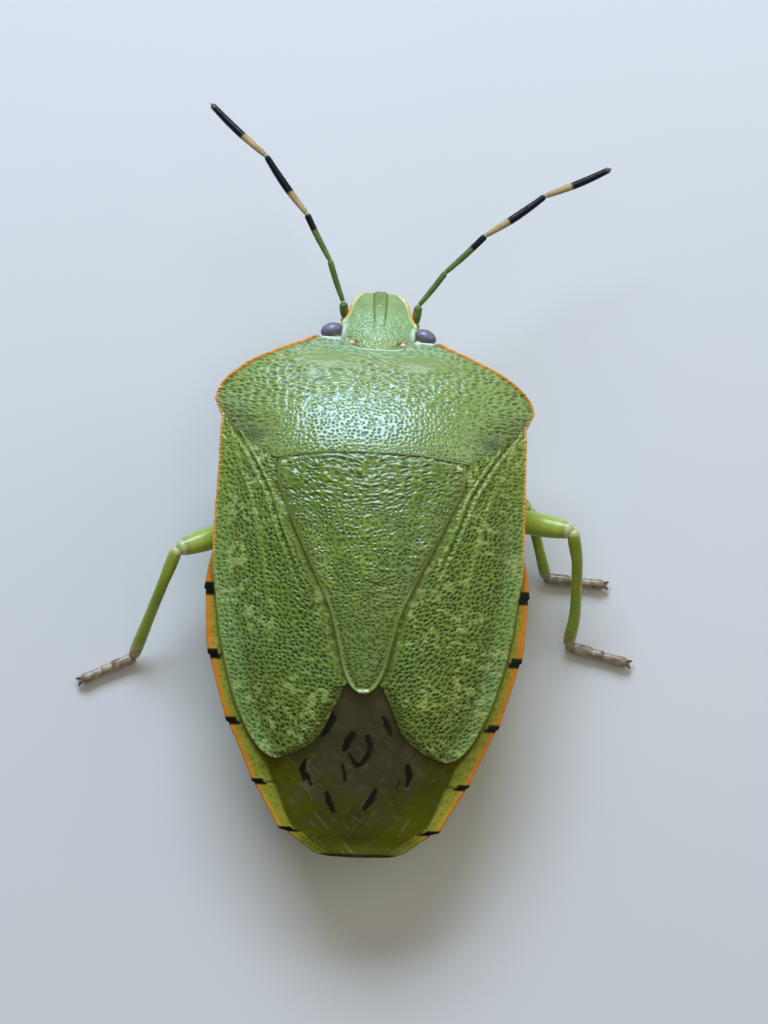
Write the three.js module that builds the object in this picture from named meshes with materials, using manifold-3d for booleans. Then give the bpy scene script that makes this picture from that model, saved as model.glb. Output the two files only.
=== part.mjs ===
// Green stink bug (shield bug), a still life-size model.
// Millimetres, +Z up, floor at z = 0. The head points to -Y, the animal's left side is +X.
// s is the distance along the body from the front of the head, so y = s - HALF_LENGTH.
import * as THREE from 'three';
import Module from 'manifold-3d';

// ---------------------------------------------------------------- driving dimensions
const BODY_LENGTH = 16.0;          // front of the head to the end of the abdomen
const HALF_LENGTH = BODY_LENGTH / 2;
const PRONOTUM_HALF_WIDTH = 4.47;  // at the shoulder angles
const PLATE = 0.55;                // thickness of pronotum, scutellum and wing plates
const JOIN_GAP = 0.05;             // gap between neighbouring plates
const HEAD_YAW = 2.7;              // degrees, the head is turned a little to its right
const EYE = { x: 1.30, s: 1.37, z: 3.10, rx: 0.31, ry: 0.235, rz: 0.28 };
const FEELER_R = 0.25;             // solid radius of the feelers
const FEMUR_R = 0.34, KNEE_R = 0.28, TIBIA_R = 0.25, TARSUS_R = 0.26;
const TARSUS_Z = 0.235;            // height of the foot's axis, so that its sole is a flat at z = 0
const BEAK_R = 0.25;

// ---------------------------------------------------------------- small tools
// monotone curve through named stations [[s, value], ...]
function curve(st) {
  const n = st.length, d = [], m = new Array(n).fill(0);
  for (let i = 0; i < n - 1; i++) d.push((st[i + 1][1] - st[i][1]) / (st[i + 1][0] - st[i][0]));
  m[0] = d[0]; m[n - 1] = d[n - 2];
  for (let i = 1; i < n - 1; i++) m[i] = d[i - 1] * d[i] <= 0 ? 0 : 2 * d[i - 1] * d[i] / (d[i - 1] + d[i]);
  return (x) => {
    if (x <= st[0][0]) return st[0][1];
    if (x >= st[n - 1][0]) return st[n - 1][1];
    let i = 0; while (x > st[i + 1][0]) i++;
    const h = st[i + 1][0] - st[i][0], t = (x - st[i][0]) / h, t2 = t * t, t3 = t2 * t;
    return st[i][1] * (2 * t3 - 3 * t2 + 1) + h * m[i] * (t3 - 2 * t2 + t)
      + st[i + 1][1] * (-2 * t3 + 3 * t2) + h * m[i + 1] * (t3 - t2);
  };
}
const lerp = (a, b, t) => a + (b - a) * t;
const smooth = (a, b, x) => { const t = Math.min(1, Math.max(0, (x - a) / (b - a))); return t * t * (3 - 2 * t); };

// ---------------------------------------------------------------- the body's own lines
const backLine = curve([[1.75, 3.65], [2.5, 4.05], [3.5, 4.6], [4.5, 5.05], [5.2, 5.2], [6, 5.22], [7, 5.17], [8, 5.05],
  [9, 4.88], [10, 4.68], [11, 4.47], [11.7, 4.3], [12.5, 4.05], [13.5, 3.7], [14.5, 3.35], [15.5, 3.05], [16, 2.92]]);
const edgeLine = curve([[1.7, 3.2], [3.45, 3.18], [4.5, 3.16], [8, 3.1], [12, 2.97], [14, 2.87], [16, 2.78]]);
const crownWidth = curve([[0, 4.45], [9.3, 4.45], [10.6, 4.32], [11.8, 3.98], [13, 3.5], [14.2, 2.95], [15.2, 2.4], [16, 1.95]]);
const bellyLine = curve([[1.9, 1.9], [3, 1.42], [4, 1.2], [5, 1.1], [6, 1.05], [7, 0.98], [8, 0.9], [9, 0.87], [10, 0.9], [11, 0.98],
  [12, 1.1], [13, 1.28], [14, 1.52], [15, 1.85], [15.7, 2.12], [16.03, 2.35]]);
// back surface: crowned from the midline down to the side edges
const back = (x, s) => backLine(s) - (backLine(s) - edgeLine(s)) * Math.pow(Math.abs(x) / crownWidth(s), 2.3);

const pronotumFront = curve([[0, 1.98], [1.0, 1.95], [1.5, 1.86], [1.9, 1.73], [2.0, 1.757], [2.5, 1.953], [3.0, 2.18], [3.5, 2.42],
  [4.0, 2.75], [4.25, 2.985], [4.4, 3.21], [4.47, 3.45]]);
const pronotumRear = curve([[0, 5.2], [1.2, 5.22], [2.3, 5.3], [2.6, 5.32], [2.98, 5.12], [3.5, 4.76], [3.98, 4.35], [4.25, 3.98],
  [4.38, 3.74], [4.47, 3.45]]);
const pronotumHind = curve([[4.03, 4.2], [4.1, 4.17], [4.4, 3.94], [4.81, 3.44], [5.17, 2.92], [5.37, 2.66]]); // x of the hind side margin
const scutellumHalf = curve([[5.25, 2.5], [5.4, 2.6], [5.8, 2.6], [6.9, 2.2], [8.0, 1.7], [8.5, 1.46], [9.0, 1.22], [9.5, 1.0],
  [10, 0.86], [10.5, 0.73], [11, 0.6], [11.3, 0.48], [11.55, 0.33], [11.68, 0.14], [11.7, 0.05]]);
const wingOuter = curve([[4.08, 4.24], [4.3, 4.28], [5, 4.28], [6, 4.3], [7, 4.325], [8, 4.32], [9, 4.175], [10, 4.03], [11, 3.8],
  [12, 3.48], [12.7, 3.16], [13.1, 2.95], [13.4, 2.85], [14.2, 2.45], [14.8, 2.09], [15.25, 1.72], [15.5, 1.35], [15.7, 0.85], [15.78, 0.3]]);
const membraneSeam = curve([[11.7, 0.14], [11.8, 0], [12.2, -0.35], [12.8, -0.6], [13.5, -0.7], [14.3, -0.6], [15, -0.35], [15.6, -0.08], [15.78, -0.02]]);
const abdomenHalf = curve([[6.65, 4.05], [7, 4.15], [7.6, 4.33], [8.2, 4.46], [8.8, 4.51], [9.3, 4.49], [10, 4.44], [10.6, 4.32],
  [11.2, 4.16], [11.8, 3.97], [12.4, 3.74], [13, 3.47], [13.6, 3.17], [14.2, 2.87], [14.8, 2.51], [15.25, 2.2], [15.33, 1.95],
  [15.6, 1.6], [15.85, 1.25], [15.98, 0.75], [16.03, 0.3]]);
const thoraxHalf = curve([[2.06, 2.4], [2.5, 3.25], [3, 3.85], [3.45, 4.1], [4, 4.02], [5, 4.02], [6.6, 4.02]]);
const headHalf = curve([[0, 0.38], [0.05, 0.5], [0.15, 0.62], [0.3, 0.73], [0.5, 0.82], [0.75, 0.9], [0.95, 1.0], [1.1, 1.08],
  [1.5, 1.12], [1.75, 1.15], [1.92, 1.1]]);
const headTop = curve([[0, 2.42], [0.2, 2.6], [0.6, 2.92], [1.1, 3.25], [1.5, 3.5], [1.92, 3.66]]);
const headEdge = curve([[0, 2.3], [0.5, 2.5], [1.0, 2.85], [1.4, 3.0], [1.92, 3.08]]);
const headUnder = curve([[0, 2.12], [0.4, 1.9], [1, 1.75], [1.92, 1.8]]);

// the small turn of head and pronotum seen in the pose
const yaw = curve([[0, HEAD_YAW], [1.2, HEAD_YAW], [1.75, 2.1], [3.5, 1.1], [5.3, 0.6], [7, 0], [16, 0]]);
const shift = curve([[1, 0], [2, 0.05], [5, 0.07], [8, 0.1], [16, 0.11]]);
function pose(x, s, z) {
  const a = THREE.MathUtils.degToRad(yaw(s));
  return new THREE.Vector3(shift(s) + x * Math.cos(a), s - x * Math.sin(a) - HALF_LENGTH, z);
}

// ---------------------------------------------------------------- solids from lists of faces
// merges coincident points and leaves out faces that closed up to nothing
function solid(points, faces) {
  const key = new Map(), map = [], pos = [];
  points.forEach((p, i) => {
    const k = [p.x, p.y, p.z].map((v) => Math.round(v * 2000)).join(',');
    if (!key.has(k)) { key.set(k, pos.length / 3); pos.push(p.x, p.y, p.z); }
    map[i] = key.get(k);
  });
  const idx = [];
  for (const f of faces) {
    const [a, b, c] = f.map((i) => map[i]);
    if (a !== b && b !== c && c !== a) idx.push(a, b, c);
  }
  const g = new THREE.BufferGeometry();
  g.setAttribute('position', new THREE.Float32BufferAttribute(pos, 3));
  g.setIndex(idx);
  // faces point out: turn them all if the volume comes out negative
  let v = 0;
  const P = (i) => new THREE.Vector3(pos[3 * i], pos[3 * i + 1], pos[3 * i + 2]);
  for (let i = 0; i < idx.length; i += 3) v += P(idx[i]).dot(P(idx[i + 1]).cross(P(idx[i + 2])));
  if (v < 0) for (let i = 0; i < idx.length; i += 3) { const t = idx[i]; idx[i] = idx[i + 1]; idx[i + 1] = t; }
  g.setIndex(idx);
  return g;
}

// a plate between a top and a bottom surface, over a grid of (x, s) places
function plate(nu, nv, place, top, bottom) {
  const pts = [], faces = [], id = (i, j, k) => (k * (nv + 1) + j) * (nu + 1) + i;
  for (let k = 0; k < 2; k++) for (let j = 0; j <= nv; j++) for (let i = 0; i <= nu; i++) {
    const [x, s] = place(i / nu, j / nv);
    pts.push(pose(x, s, k ? bottom(x, s) : top(x, s)));
  }
  const quad = (a, b, c, d) => { faces.push([a, b, c], [a, c, d]); };
  for (let j = 0; j < nv; j++) for (let i = 0; i < nu; i++) {
    quad(id(i, j, 0), id(i + 1, j, 0), id(i + 1, j + 1, 0), id(i, j + 1, 0));
    quad(id(i, j, 1), id(i, j + 1, 1), id(i + 1, j + 1, 1), id(i + 1, j, 1));
  }
  for (let i = 0; i < nu; i++) {
    quad(id(i, 0, 0), id(i, 0, 1), id(i + 1, 0, 1), id(i + 1, 0, 0));
    quad(id(i, nv, 0), id(i + 1, nv, 0), id(i + 1, nv, 1), id(i, nv, 1));
  }
  for (let j = 0; j < nv; j++) {
    quad(id(0, j, 0), id(0, j + 1, 0), id(0, j + 1, 1), id(0, j, 1));
    quad(id(nu, j, 0), id(nu, j, 1), id(nu, j + 1, 1), id(nu, j + 1, 0));
  }
  return solid(pts, faces);
}

// a loft through closed rings, with flat or pointed ends
function loft(rings) {
  const n = rings[0].length, pts = rings.flat(), faces = [];
  for (let r = 0; r < rings.length - 1; r++) for (let i = 0; i < n; i++) {
    const a = r * n + i, b = r * n + (i + 1) % n;
    faces.push([a, b, b + n], [a, b + n, a + n]);
  }
  for (const [r, flip] of [[0, true], [rings.length - 1, false]]) {
    const c = new THREE.Vector3(); rings[r].forEach((p) => c.add(p)); c.multiplyScalar(1 / n);
    const ci = pts.length; pts.push(c);
    for (let i = 0; i < n; i++) {
      const a = r * n + i, b = r * n + (i + 1) % n;
      faces.push(flip ? [b, a, ci] : [a, b, ci]);
    }
  }
  return solid(pts, faces);
}

// a round limb along a bent line; stops = [[x, y, z, radius], ...]; soles are cut flat at z = 0
function limb(stops, sides = 8, dome = 0.55) {
  const rings = [], P = stops.map((q) => new THREE.Vector3(q[0], q[1], q[2])), n = P.length;
  const dir = (i) => {
    const a = P[Math.max(0, i - 1)], b = P[Math.min(n - 1, i + 1)];
    return b.clone().sub(a).normalize();
  };
  const ring = (c, d, r) => {
    const u = new THREE.Vector3().crossVectors(d, new THREE.Vector3(0, 0, 1)).normalize();
    const w = new THREE.Vector3().crossVectors(u, d).normalize(), out = [];
    for (let k = 0; k < sides; k++) {
      const a = (k + 0.5) / sides * 2 * Math.PI;
      const q = c.clone().addScaledVector(u, Math.cos(a) * r).addScaledVector(w, Math.sin(a) * r);
      q.z = Math.max(0, q.z);
      out.push(q);
    }
    return out;
  };
  const d0 = dir(0), d1 = dir(n - 1), r0 = stops[0][3], r1 = stops[n - 1][3];
  rings.push(ring(P[0].clone().addScaledVector(d0, -dome * r0), d0, 0.55 * r0));
  for (let i = 0; i < n; i++) rings.push(ring(P[i], dir(i), stops[i][3]));
  rings.push(ring(P[n - 1].clone().addScaledVector(d1, dome * r1), d1, 0.55 * r1));
  return loft(rings);
}

// ---------------------------------------------------------------- cuts
const wasm = await Module(); wasm.setup();
function toManifold(g) {
  const vertProperties = new Float32Array(g.attributes.position.array), triVerts = new Uint32Array(g.index.array);
  return new wasm.Manifold(new wasm.Mesh({ numProp: 3, vertProperties, triVerts }));
}
function fromManifold(m) {
  const k = m.getMesh(), pos = [];
  for (let i = 0; i < k.vertProperties.length; i += k.numProp) {
    pos.push(new THREE.Vector3(k.vertProperties[i], k.vertProperties[i + 1], k.vertProperties[i + 2]));
  }
  const faces = [];
  for (let i = 0; i < k.triVerts.length; i += 3) faces.push([k.triVerts[i], k.triVerts[i + 1], k.triVerts[i + 2]]);
  return solid(pos, faces);
}
function cut(g, tools) {
  let m = toManifold(g);
  for (const t of tools) m = m.subtract(toManifold(t));
  return fromManifold(m);
}

// ---------------------------------------------------------------- head
function headSolid() {
  const rings = [];
  for (const s of [0, 0.05, 0.15, 0.3, 0.5, 0.75, 0.95, 1.1, 1.3, 1.5, 1.75, 1.92]) {
    const w = headHalf(s), zt = headTop(s), ze = headEdge(s), zb = headUnder(s), ring = [];
    for (let k = -6; k <= 6; k++) {
      const t = Math.sin(k / 6 * Math.PI / 2);
      ring.push(pose(w * t, s, zt - (zt - ze) * Math.pow(Math.abs(t), 2.4)));
    }
    for (let k = 5; k >= -5; k--) {
      const t = Math.sin(k / 6 * Math.PI / 2) * 0.96;
      ring.push(pose(w * t, s, lerp(zb, ze - 0.12, Math.pow(Math.abs(t), 2.0))));
    }
    rings.push(ring);
  }
  return loft(rings);
}
function eyeSolid(side, grow = 0, detail = [12, 8]) {
  const g = new THREE.SphereGeometry(1, detail[0], detail[1]);
  const pos = g.attributes.position, idx = g.index.array, pts = [], faces = [];
  for (let i = 0; i < pos.count; i++) {
    pts.push(pose(side * EYE.x + pos.getX(i) * (EYE.rx + grow), EYE.s + pos.getY(i) * (EYE.ry + grow), EYE.z + pos.getZ(i) * (EYE.rz + grow)));
  }
  for (let i = 0; i < idx.length; i += 3) faces.push([idx[i], idx[i + 1], idx[i + 2]]);
  return solid(pts, faces);
}

// feelers: five pieces each, from the pictured joints
const FEELER = {
  left: [[0.99, 0.80, 2.5], [1.05, 0.425, 2.75], [1.468, -0.709, 3.05], [2.16, -1.96, 3.3], [3.37, -3.59, 3.4], [5.022, -5.139, 3.2]],
  right: [[-1.0, 0.9, 2.5], [-1.07, 0.46, 2.75], [-1.798, -0.463, 3.05], [-2.89, -1.505, 3.3], [-4.54, -2.69, 3.4], [-6.416, -3.617, 3.2]],
};
function feelerPiece(side, k, grow = 0) {
  const P = FEELER[side].map(([x, s, z]) => new THREE.Vector3(x, s - HALF_LENGTH, z));
  const a = P[k].clone(), b = P[k + 1].clone(), d = b.clone().sub(a).normalize();
  const ga = k === 0 ? 0.05 : 0.2, gb = k === 4 ? 0.16 : 0.2;
  a.addScaledVector(d, ga); b.addScaledVector(d, -gb);
  const L = a.distanceTo(b), m = a.clone().lerp(b, 0.5), r = FEELER_R + grow;
  const stops = L < 0.3 ? [[a.x, a.y, a.z, r], [b.x, b.y, b.z, r]] : [[a.x, a.y, a.z, r], [m.x, m.y, m.z, r], [b.x, b.y, b.z, r]];
  return limb(stops, 8, 0.5);
}

// ---------------------------------------------------------------- plates of the back
function pronotumSolid() {
  return plate(32, 9, (u, v) => {
    const x = PRONOTUM_HALF_WIDTH * Math.sin((u * 2 - 1) * Math.PI / 2), ax = Math.abs(x);
    return [x, lerp(pronotumFront(ax), pronotumRear(ax), v)];
  }, back, (x, s) => back(x, s) - PLATE);
}
const SIDE_ROWS = [5.37, 5.6, 5.9, 6.4, 6.9, 7.5, 8.1, 8.7, 9.3, 9.9, 10.5, 11.0, 11.4, 11.55, 11.69]; // shared by scutellum and wings
function scutellumSolid() {
  return plate(10, SIDE_ROWS.length - 1, (u, v) => {
    const s = SIDE_ROWS[Math.round(v * (SIDE_ROWS.length - 1))], w = scutellumHalf(s);
    // the base follows the hind edge of the pronotum
    const x = (u * 2 - 1) * w;
    return [x, v === 0 ? pronotumRear(Math.abs(x)) + JOIN_GAP : s];
  }, back, (x, s) => back(x, s) - PLATE);
}
function wingInner(s, side) {
  if (s < 5.37) return pronotumHind(s);
  if (s < 11.69) return scutellumHalf(s) + JOIN_GAP;
  return side * membraneSeam(s) + (side > 0 ? 0.025 : 0.025);
}
function wingSolid(side) {
  const rows = [4.1, 4.3, 4.55, 4.81, 5.0, 5.17, ...SIDE_ROWS, 11.8, 12.2, 12.7, 13.1, 13.5, 14.0, 14.5, 14.9, 15.25, 15.5, 15.7, 15.76];
  return plate(7, rows.length - 1, (u, v) => {
    const s = rows[Math.round(v * (rows.length - 1))];
    const a = wingInner(s, side), b = Math.max(wingOuter(s), a + 0.04);
    return [side * lerp(a, b, u), s];
  }, (x, s) => back(x, s) - 0.04 * smooth(11.5, 13, s), (x, s) => back(x, s) - lerp(PLATE, 0.5, smooth(11.5, 13, s)));
}

// ---------------------------------------------------------------- trunk
function abdomenSolid() {
  const rows = [6.66, 7.1, 7.6, 8.2, 8.8, 9.4, 10, 10.6, 11.2, 11.8, 12.4, 13, 13.6, 14.2, 14.8, 15.25, 15.36, 15.6, 15.79, 15.83, 15.93, 16.03];
  const rings = rows.map((s) => {
    const W = abdomenHalf(s), rim = smooth(7.4, 8.3, s), end = s > 15.8;
    const wi = end ? W * 0.6 : Math.min(wingOuter(s) + JOIN_GAP, W - 0.1), low = end ? 0.12 : PLATE + 0.07;
    const ring = [], top = (x) => back(x, s) - low;
    const rimIn = lerp(top(wi), back(wi, s) - 0.12, rim), rimOut = lerp(Math.min(top(W), edgeLine(s) - 0.62), edgeLine(s) - 0.1, rim);
    const zs = lerp(2.5, edgeLine(s) - 0.35, rim);
    ring.push([W, rimOut - (end ? 0.02 : 0)]);
    ring.push([wi, end ? top(wi) : rimIn]);
    ring.push([wi - 0.02, top(wi)]);
    for (let k = 3; k >= -3; k--) ring.push([wi * 0.9 * k / 3, top(wi * 0.9 * k / 3)]);
    ring.push([-wi + 0.02, top(wi)]);
    ring.push([-wi, end ? top(wi) : rimIn]);
    ring.push([-W, rimOut - (end ? 0.02 : 0)]);
    const zb = Math.min(bellyLine(s), zs - 0.05);
    for (let k = -6; k <= 6; k++) {
      const t = k / 6;
      ring.push([W * t * (Math.abs(k) === 6 ? 0.97 : 1) * 0.985, lerp(zb, zs, Math.pow(Math.abs(t), 1.7))]);
    }
    return ring.map(([x, z]) => pose(x, s, z));
  });
  return loft(rings);
}
function thoraxSolid() {
  const rows = [2.08, 2.5, 3.0, 3.5, 4.0, 4.6, 5.2, 5.8, 6.2, 6.6];
  const rings = rows.map((s) => {
    const W = thoraxHalf(s), ring = [], low = PLATE + 0.07, zs = 2.42;
    for (let k = 5; k >= -5; k--) { const x = W * Math.sin(k / 5 * Math.PI / 2); ring.push([x, back(x, s) - low]); }
    for (let k = -6; k <= 6; k++) { const t = k / 6; ring.push([W * t * 0.985, lerp(bellyLine(s), zs, Math.pow(Math.abs(t), 1.7))]); }
    return ring.map(([x, z]) => pose(x, s, z));
  });
  return loft(rings);
}
function beakSolid() {
  return limb([[0.03, 0.45 - 8, 1.58, BEAK_R], [0.04, 1.2 - 8, 1.4, BEAK_R], [0.05, 2.0 - 8, 1.3, BEAK_R], [0.05, 3.0 - 8, 1.02, BEAK_R],
    [0.06, 4.0 - 8, 0.84, BEAK_R], [0.06, 5.2 - 8, 0.74, BEAK_R], [0.06, 6.6 - 8, 0.66, BEAK_R]], 8);
}

// ---------------------------------------------------------------- legs: hip, knee, ankle and toe places in (x, s, z)
const LEG = {
  front_left: { hip: [1.0, 4.1, 0.74], knee: [3.15, 3.6, 1.66], ankle: [1.95, 1.75], toe: [1.05, 1.0] },
  front_right: { hip: [-1.0, 4.1, 0.74], knee: [-4.42, 5.98, 1.5], ankle: [-4.985, 7.69], toe: [-6.6, 7.83] },
  middle_left: { hip: [1.25, 5.7, 0.7], knee: [5.434, 7.6, 2.55], ankle: [6.69, 10.37], toe: [8.1, 11.05], bend: [5.75, 8.35, 2.15] },
  middle_right: { hip: [-1.25, 5.7, 0.7], knee: [-5.60, 6.72, 2.55], ankle: [-5.66, 9.63], toe: [-7.3, 10.05], bend: [-5.85, 7.6, 1.95] },
  hind_left: { hip: [1.35, 7.0, 0.66], knee: [3.1, 10.4, 1.2], ankle: [2.4, 13.7], toe: [1.6, 15.0] },
  hind_right: { hip: [-1.35, 7.0, 0.66], knee: [-3.1, 10.4, 1.2], ankle: [-2.4, 13.7], toe: [-1.6, 15.0] },
};
const V = ([x, s, z]) => new THREE.Vector3(x, s - HALF_LENGTH, z);
function femurSolid(L) {
  const h = V(L.hip), k = V(L.knee), at = (t, dz = 0) => h.clone().lerp(k, t).add(new THREE.Vector3(0, 0, dz));
  const st = [[h, 0.32], [at(0.13, -0.02), 0.27], [at(0.3, -0.03), 0.31], [at(0.6, -0.02), FEMUR_R], [at(0.85), 0.31], [k, KNEE_R]];
  return limb(st.map(([p, r]) => [p.x, p.y, p.z, r]), 10, 0.6);
}
function tibiaSolid(L) {
  const k = V(L.knee), a = V([...L.ankle, TARSUS_Z]), b = L.bend ? V(L.bend) : k.clone().lerp(a, 0.5);
  const d0 = b.clone().sub(k).normalize(), d1 = a.clone().sub(b).normalize();
  const p0 = k.clone().addScaledVector(d0, KNEE_R + 0.17), p1 = a.clone().addScaledVector(d1, -(TARSUS_R + 0.19));
  return limb([p0, b, p1].map((p) => [p.x, p.y, p.z, TIBIA_R]), 8, 0.4);
}
function tarsusSolid(L) {
  const a = V([...L.ankle, TARSUS_Z]), t = V([...L.toe, TARSUS_Z]), m = a.clone().lerp(t, 0.5);
  return limb([a, m, t].map((p) => [p.x, p.y, p.z, TARSUS_R]), 8, 0.5);
}

// ---------------------------------------------------------------- assembly
const material = (color, roughness = 0.4) => new THREE.MeshStandardMaterial({ color, roughness, metalness: 0 });
const GREEN = 0x7c9440, LEG_GREEN = 0x8ea03a, FOOT = 0x9a8468, BLACK = 0x15181a, EYE_GREY = 0x5a5468, OLIVE = 0x6f6a3c;

const group = new THREE.Group();
function add(name, geometry, mat) {
  const m = new THREE.Mesh(geometry, mat);
  m.name = name;
  group.add(m);
}
const feelerBases = [feelerPiece('left', 0, 0.05), feelerPiece('right', 0, 0.05)];
add('head', cut(headSolid(), [eyeSolid(1, 0.035), eyeSolid(-1, 0.035), ...feelerBases]), material(GREEN));
add('eye_left', eyeSolid(1), material(EYE_GREY, 0.2));
add('eye_right', eyeSolid(-1), material(EYE_GREY, 0.2));
for (const side of ['left', 'right']) {
  for (let k = 0; k < 5; k++) {
    add(`antenna_${side}_${k + 1}`, feelerPiece(side, k), material(k < 3 ? LEG_GREEN : BLACK, 0.35));
  }
}
add('rostrum', beakSolid(), material(LEG_GREEN));
add('pronotum', pronotumSolid(), material(GREEN, 0.3));
add('scutellum', scutellumSolid(), material(GREEN, 0.35));
add('wing_left', wingSolid(1), material(GREEN));
add('wing_right', wingSolid(-1), material(GREEN));
add('thorax', thoraxSolid(), material(LEG_GREEN));
add('abdomen', abdomenSolid(), material(OLIVE));
for (const [name, L] of Object.entries(LEG)) {
  add(`femur_${name}`, femurSolid(L), material(LEG_GREEN));
  add(`tibia_${name}`, tibiaSolid(L), material(LEG_GREEN));
  add(`tarsus_${name}`, tarsusSolid(L), material(FOOT));
}

// origin at the middle of the model's box, on the floor
group.updateMatrixWorld(true);
const box = new THREE.Box3().setFromObject(group, true);
const ORIGIN = box.getCenter(new THREE.Vector3());
group.position.set(-ORIGIN.x, -ORIGIN.y, -box.min.z);
group.updateMatrixWorld(true);

export default group;
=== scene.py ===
import math
import bpy
import numpy as np
from mathutils import Vector, Matrix


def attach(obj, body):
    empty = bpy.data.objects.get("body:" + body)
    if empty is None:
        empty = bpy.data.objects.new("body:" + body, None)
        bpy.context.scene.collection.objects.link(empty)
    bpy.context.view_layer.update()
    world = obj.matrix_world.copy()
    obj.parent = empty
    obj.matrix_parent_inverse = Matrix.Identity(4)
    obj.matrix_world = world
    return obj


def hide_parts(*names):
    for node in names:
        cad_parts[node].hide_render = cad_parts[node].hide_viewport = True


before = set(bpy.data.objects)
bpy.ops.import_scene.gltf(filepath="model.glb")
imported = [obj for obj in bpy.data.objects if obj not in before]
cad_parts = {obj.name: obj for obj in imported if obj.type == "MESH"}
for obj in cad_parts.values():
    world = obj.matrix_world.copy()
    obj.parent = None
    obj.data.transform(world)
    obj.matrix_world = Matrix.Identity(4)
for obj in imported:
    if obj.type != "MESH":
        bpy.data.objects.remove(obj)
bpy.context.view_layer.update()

# ------------------------------------------------------------------ frame
# Working units are millimetres in a body frame: x to the animal's left, s from the front
# of the head backwards, z up from the floor. P3 turns them into metres of the model's frame.
MM = 0.001
SX, SY, HALF = -0.40789, 2.59049, 8.0


def curve(st):
    X = np.array([p[0] for p in st], float); Y = np.array([p[1] for p in st], float)
    h = np.diff(X); d = np.diff(Y) / h
    m = np.zeros(len(X)); m[0], m[-1] = d[0], d[-1]
    for i in range(1, len(X) - 1):
        m[i] = 0 if d[i - 1] * d[i] <= 0 else 2 * d[i - 1] * d[i] / (d[i - 1] + d[i])

    def f(x):
        x = np.clip(np.asarray(x, float), X[0], X[-1])
        i = np.clip(np.searchsorted(X, x, side="right") - 1, 0, len(h) - 1)
        t = (x - X[i]) / h[i]; t2 = t * t; t3 = t2 * t
        return (Y[i] * (2 * t3 - 3 * t2 + 1) + h[i] * m[i] * (t3 - 2 * t2 + t)
                + Y[i + 1] * (-2 * t3 + 3 * t2) + h[i] * m[i + 1] * (t3 - t2))
    return f


def sstep(a, b, x):
    t = np.clip((np.asarray(x, float) - a) / (b - a), 0, 1)
    return t * t * (3 - 2 * t)


def lerp(a, b, t):
    return a + (b - a) * t


back_line = curve([[1.4, 3.5], [1.75, 3.65], [2.5, 4.05], [3.5, 4.6], [4.5, 5.05], [5.2, 5.2], [6, 5.22], [7, 5.17], [8, 5.05],
                   [9, 4.88], [10, 4.68], [11, 4.47], [11.7, 4.3], [12.5, 4.05], [13.5, 3.7], [14.5, 3.35], [15.5, 3.05], [16, 2.92]])
edge_line = curve([[1.7, 3.2], [3.45, 3.18], [4.5, 3.16], [8, 3.1], [12, 2.97], [14, 2.87], [16, 2.78]])
crown_w = curve([[0, 4.45], [9.3, 4.45], [10.6, 4.32], [11.8, 3.98], [13, 3.5], [14.2, 2.95], [15.2, 2.4], [16, 1.95]])
belly_line = curve([[1.6, 2.0], [1.9, 1.9], [3, 1.42], [4, 1.2], [5, 1.1], [6, 1.05], [7, 0.98], [8, 0.9], [9, 0.87], [10, 0.9], [11, 0.98],
                    [12, 1.1], [13, 1.28], [14, 1.52], [15, 1.85], [15.7, 2.12], [16.03, 2.35]])
pron_front = curve([[0, 1.96], [0.5, 1.94], [0.75, 1.85], [0.95, 1.70], [1.15, 1.645], [1.55, 1.64], [1.7, 1.655], [1.9, 1.71], [2.0, 1.757],
                    [2.5, 1.953], [3.0, 2.18], [3.5, 2.42], [4.0, 2.75], [4.25, 2.985], [4.4, 3.21], [4.47, 3.45]])
pron_rear = curve([[0, 5.2], [1.2, 5.22], [2.3, 5.3], [2.6, 5.32], [2.98, 5.12], [3.5, 4.76], [3.98, 4.35], [4.25, 3.98], [4.38, 3.74], [4.47, 3.45]])
pron_hind = curve([[4.03, 4.2], [4.1, 4.17], [4.4, 3.94], [4.81, 3.44], [5.17, 2.92], [5.37, 2.66]])
scut_half = curve([[5.0, 2.5], [5.25, 2.57], [5.5, 2.61], [5.8, 2.6], [6.9, 2.2], [8.0, 1.7], [8.5, 1.46], [9.0, 1.22], [9.5, 1.0],
                   [10, 0.86], [10.5, 0.73], [11, 0.6], [11.3, 0.48], [11.5, 0.36], [11.62, 0.22], [11.68, 0.12], [11.7, 0.02]])
wing_out = curve([[4.0, 4.24], [4.3, 4.28], [5, 4.28], [6, 4.3], [7, 4.325], [8, 4.32], [9, 4.175], [10, 4.03], [11, 3.8],
                  [12, 3.48], [12.7, 3.16], [13.1, 2.95], [13.4, 2.85], [14.2, 2.45], [14.8, 2.09], [15.25, 1.72], [15.5, 1.35], [15.7, 0.85], [15.78, 0.3]])
cor_out = curve([[4.0, 4.24], [4.3, 4.28], [5, 4.28], [6, 4.3], [7, 4.325], [8, 4.32], [9, 4.175], [10, 4.03], [11, 3.8],
                 [12, 3.48], [12.7, 3.14], [12.95, 2.98], [13.2, 2.76], [13.36, 2.55], [13.43, 2.36]])
cor_in = curve([[11.4, 0.5], [11.6, 0.56], [12.1, 0.8], [12.7, 1.08], [13.0, 1.36], [13.2, 1.68], [13.33, 1.98], [13.43, 2.34]])
abd_w = curve([[6.0, 3.9], [6.65, 4.05], [7, 4.15], [7.6, 4.33], [8.2, 4.46], [8.8, 4.49], [9.3, 4.47], [10, 4.42], [10.6, 4.30],
               [11.2, 4.14], [11.8, 3.95], [12.4, 3.72], [13, 3.45], [13.6, 3.16], [14.2, 2.85], [14.8, 2.49], [15.25, 2.18], [15.33, 2.00],
               [15.6, 1.63], [15.86, 1.27], [15.91, 1.17], [15.945, 1.02], [15.97, 0.78], [15.985, 0.5], [15.99, 0.3]])
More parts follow.
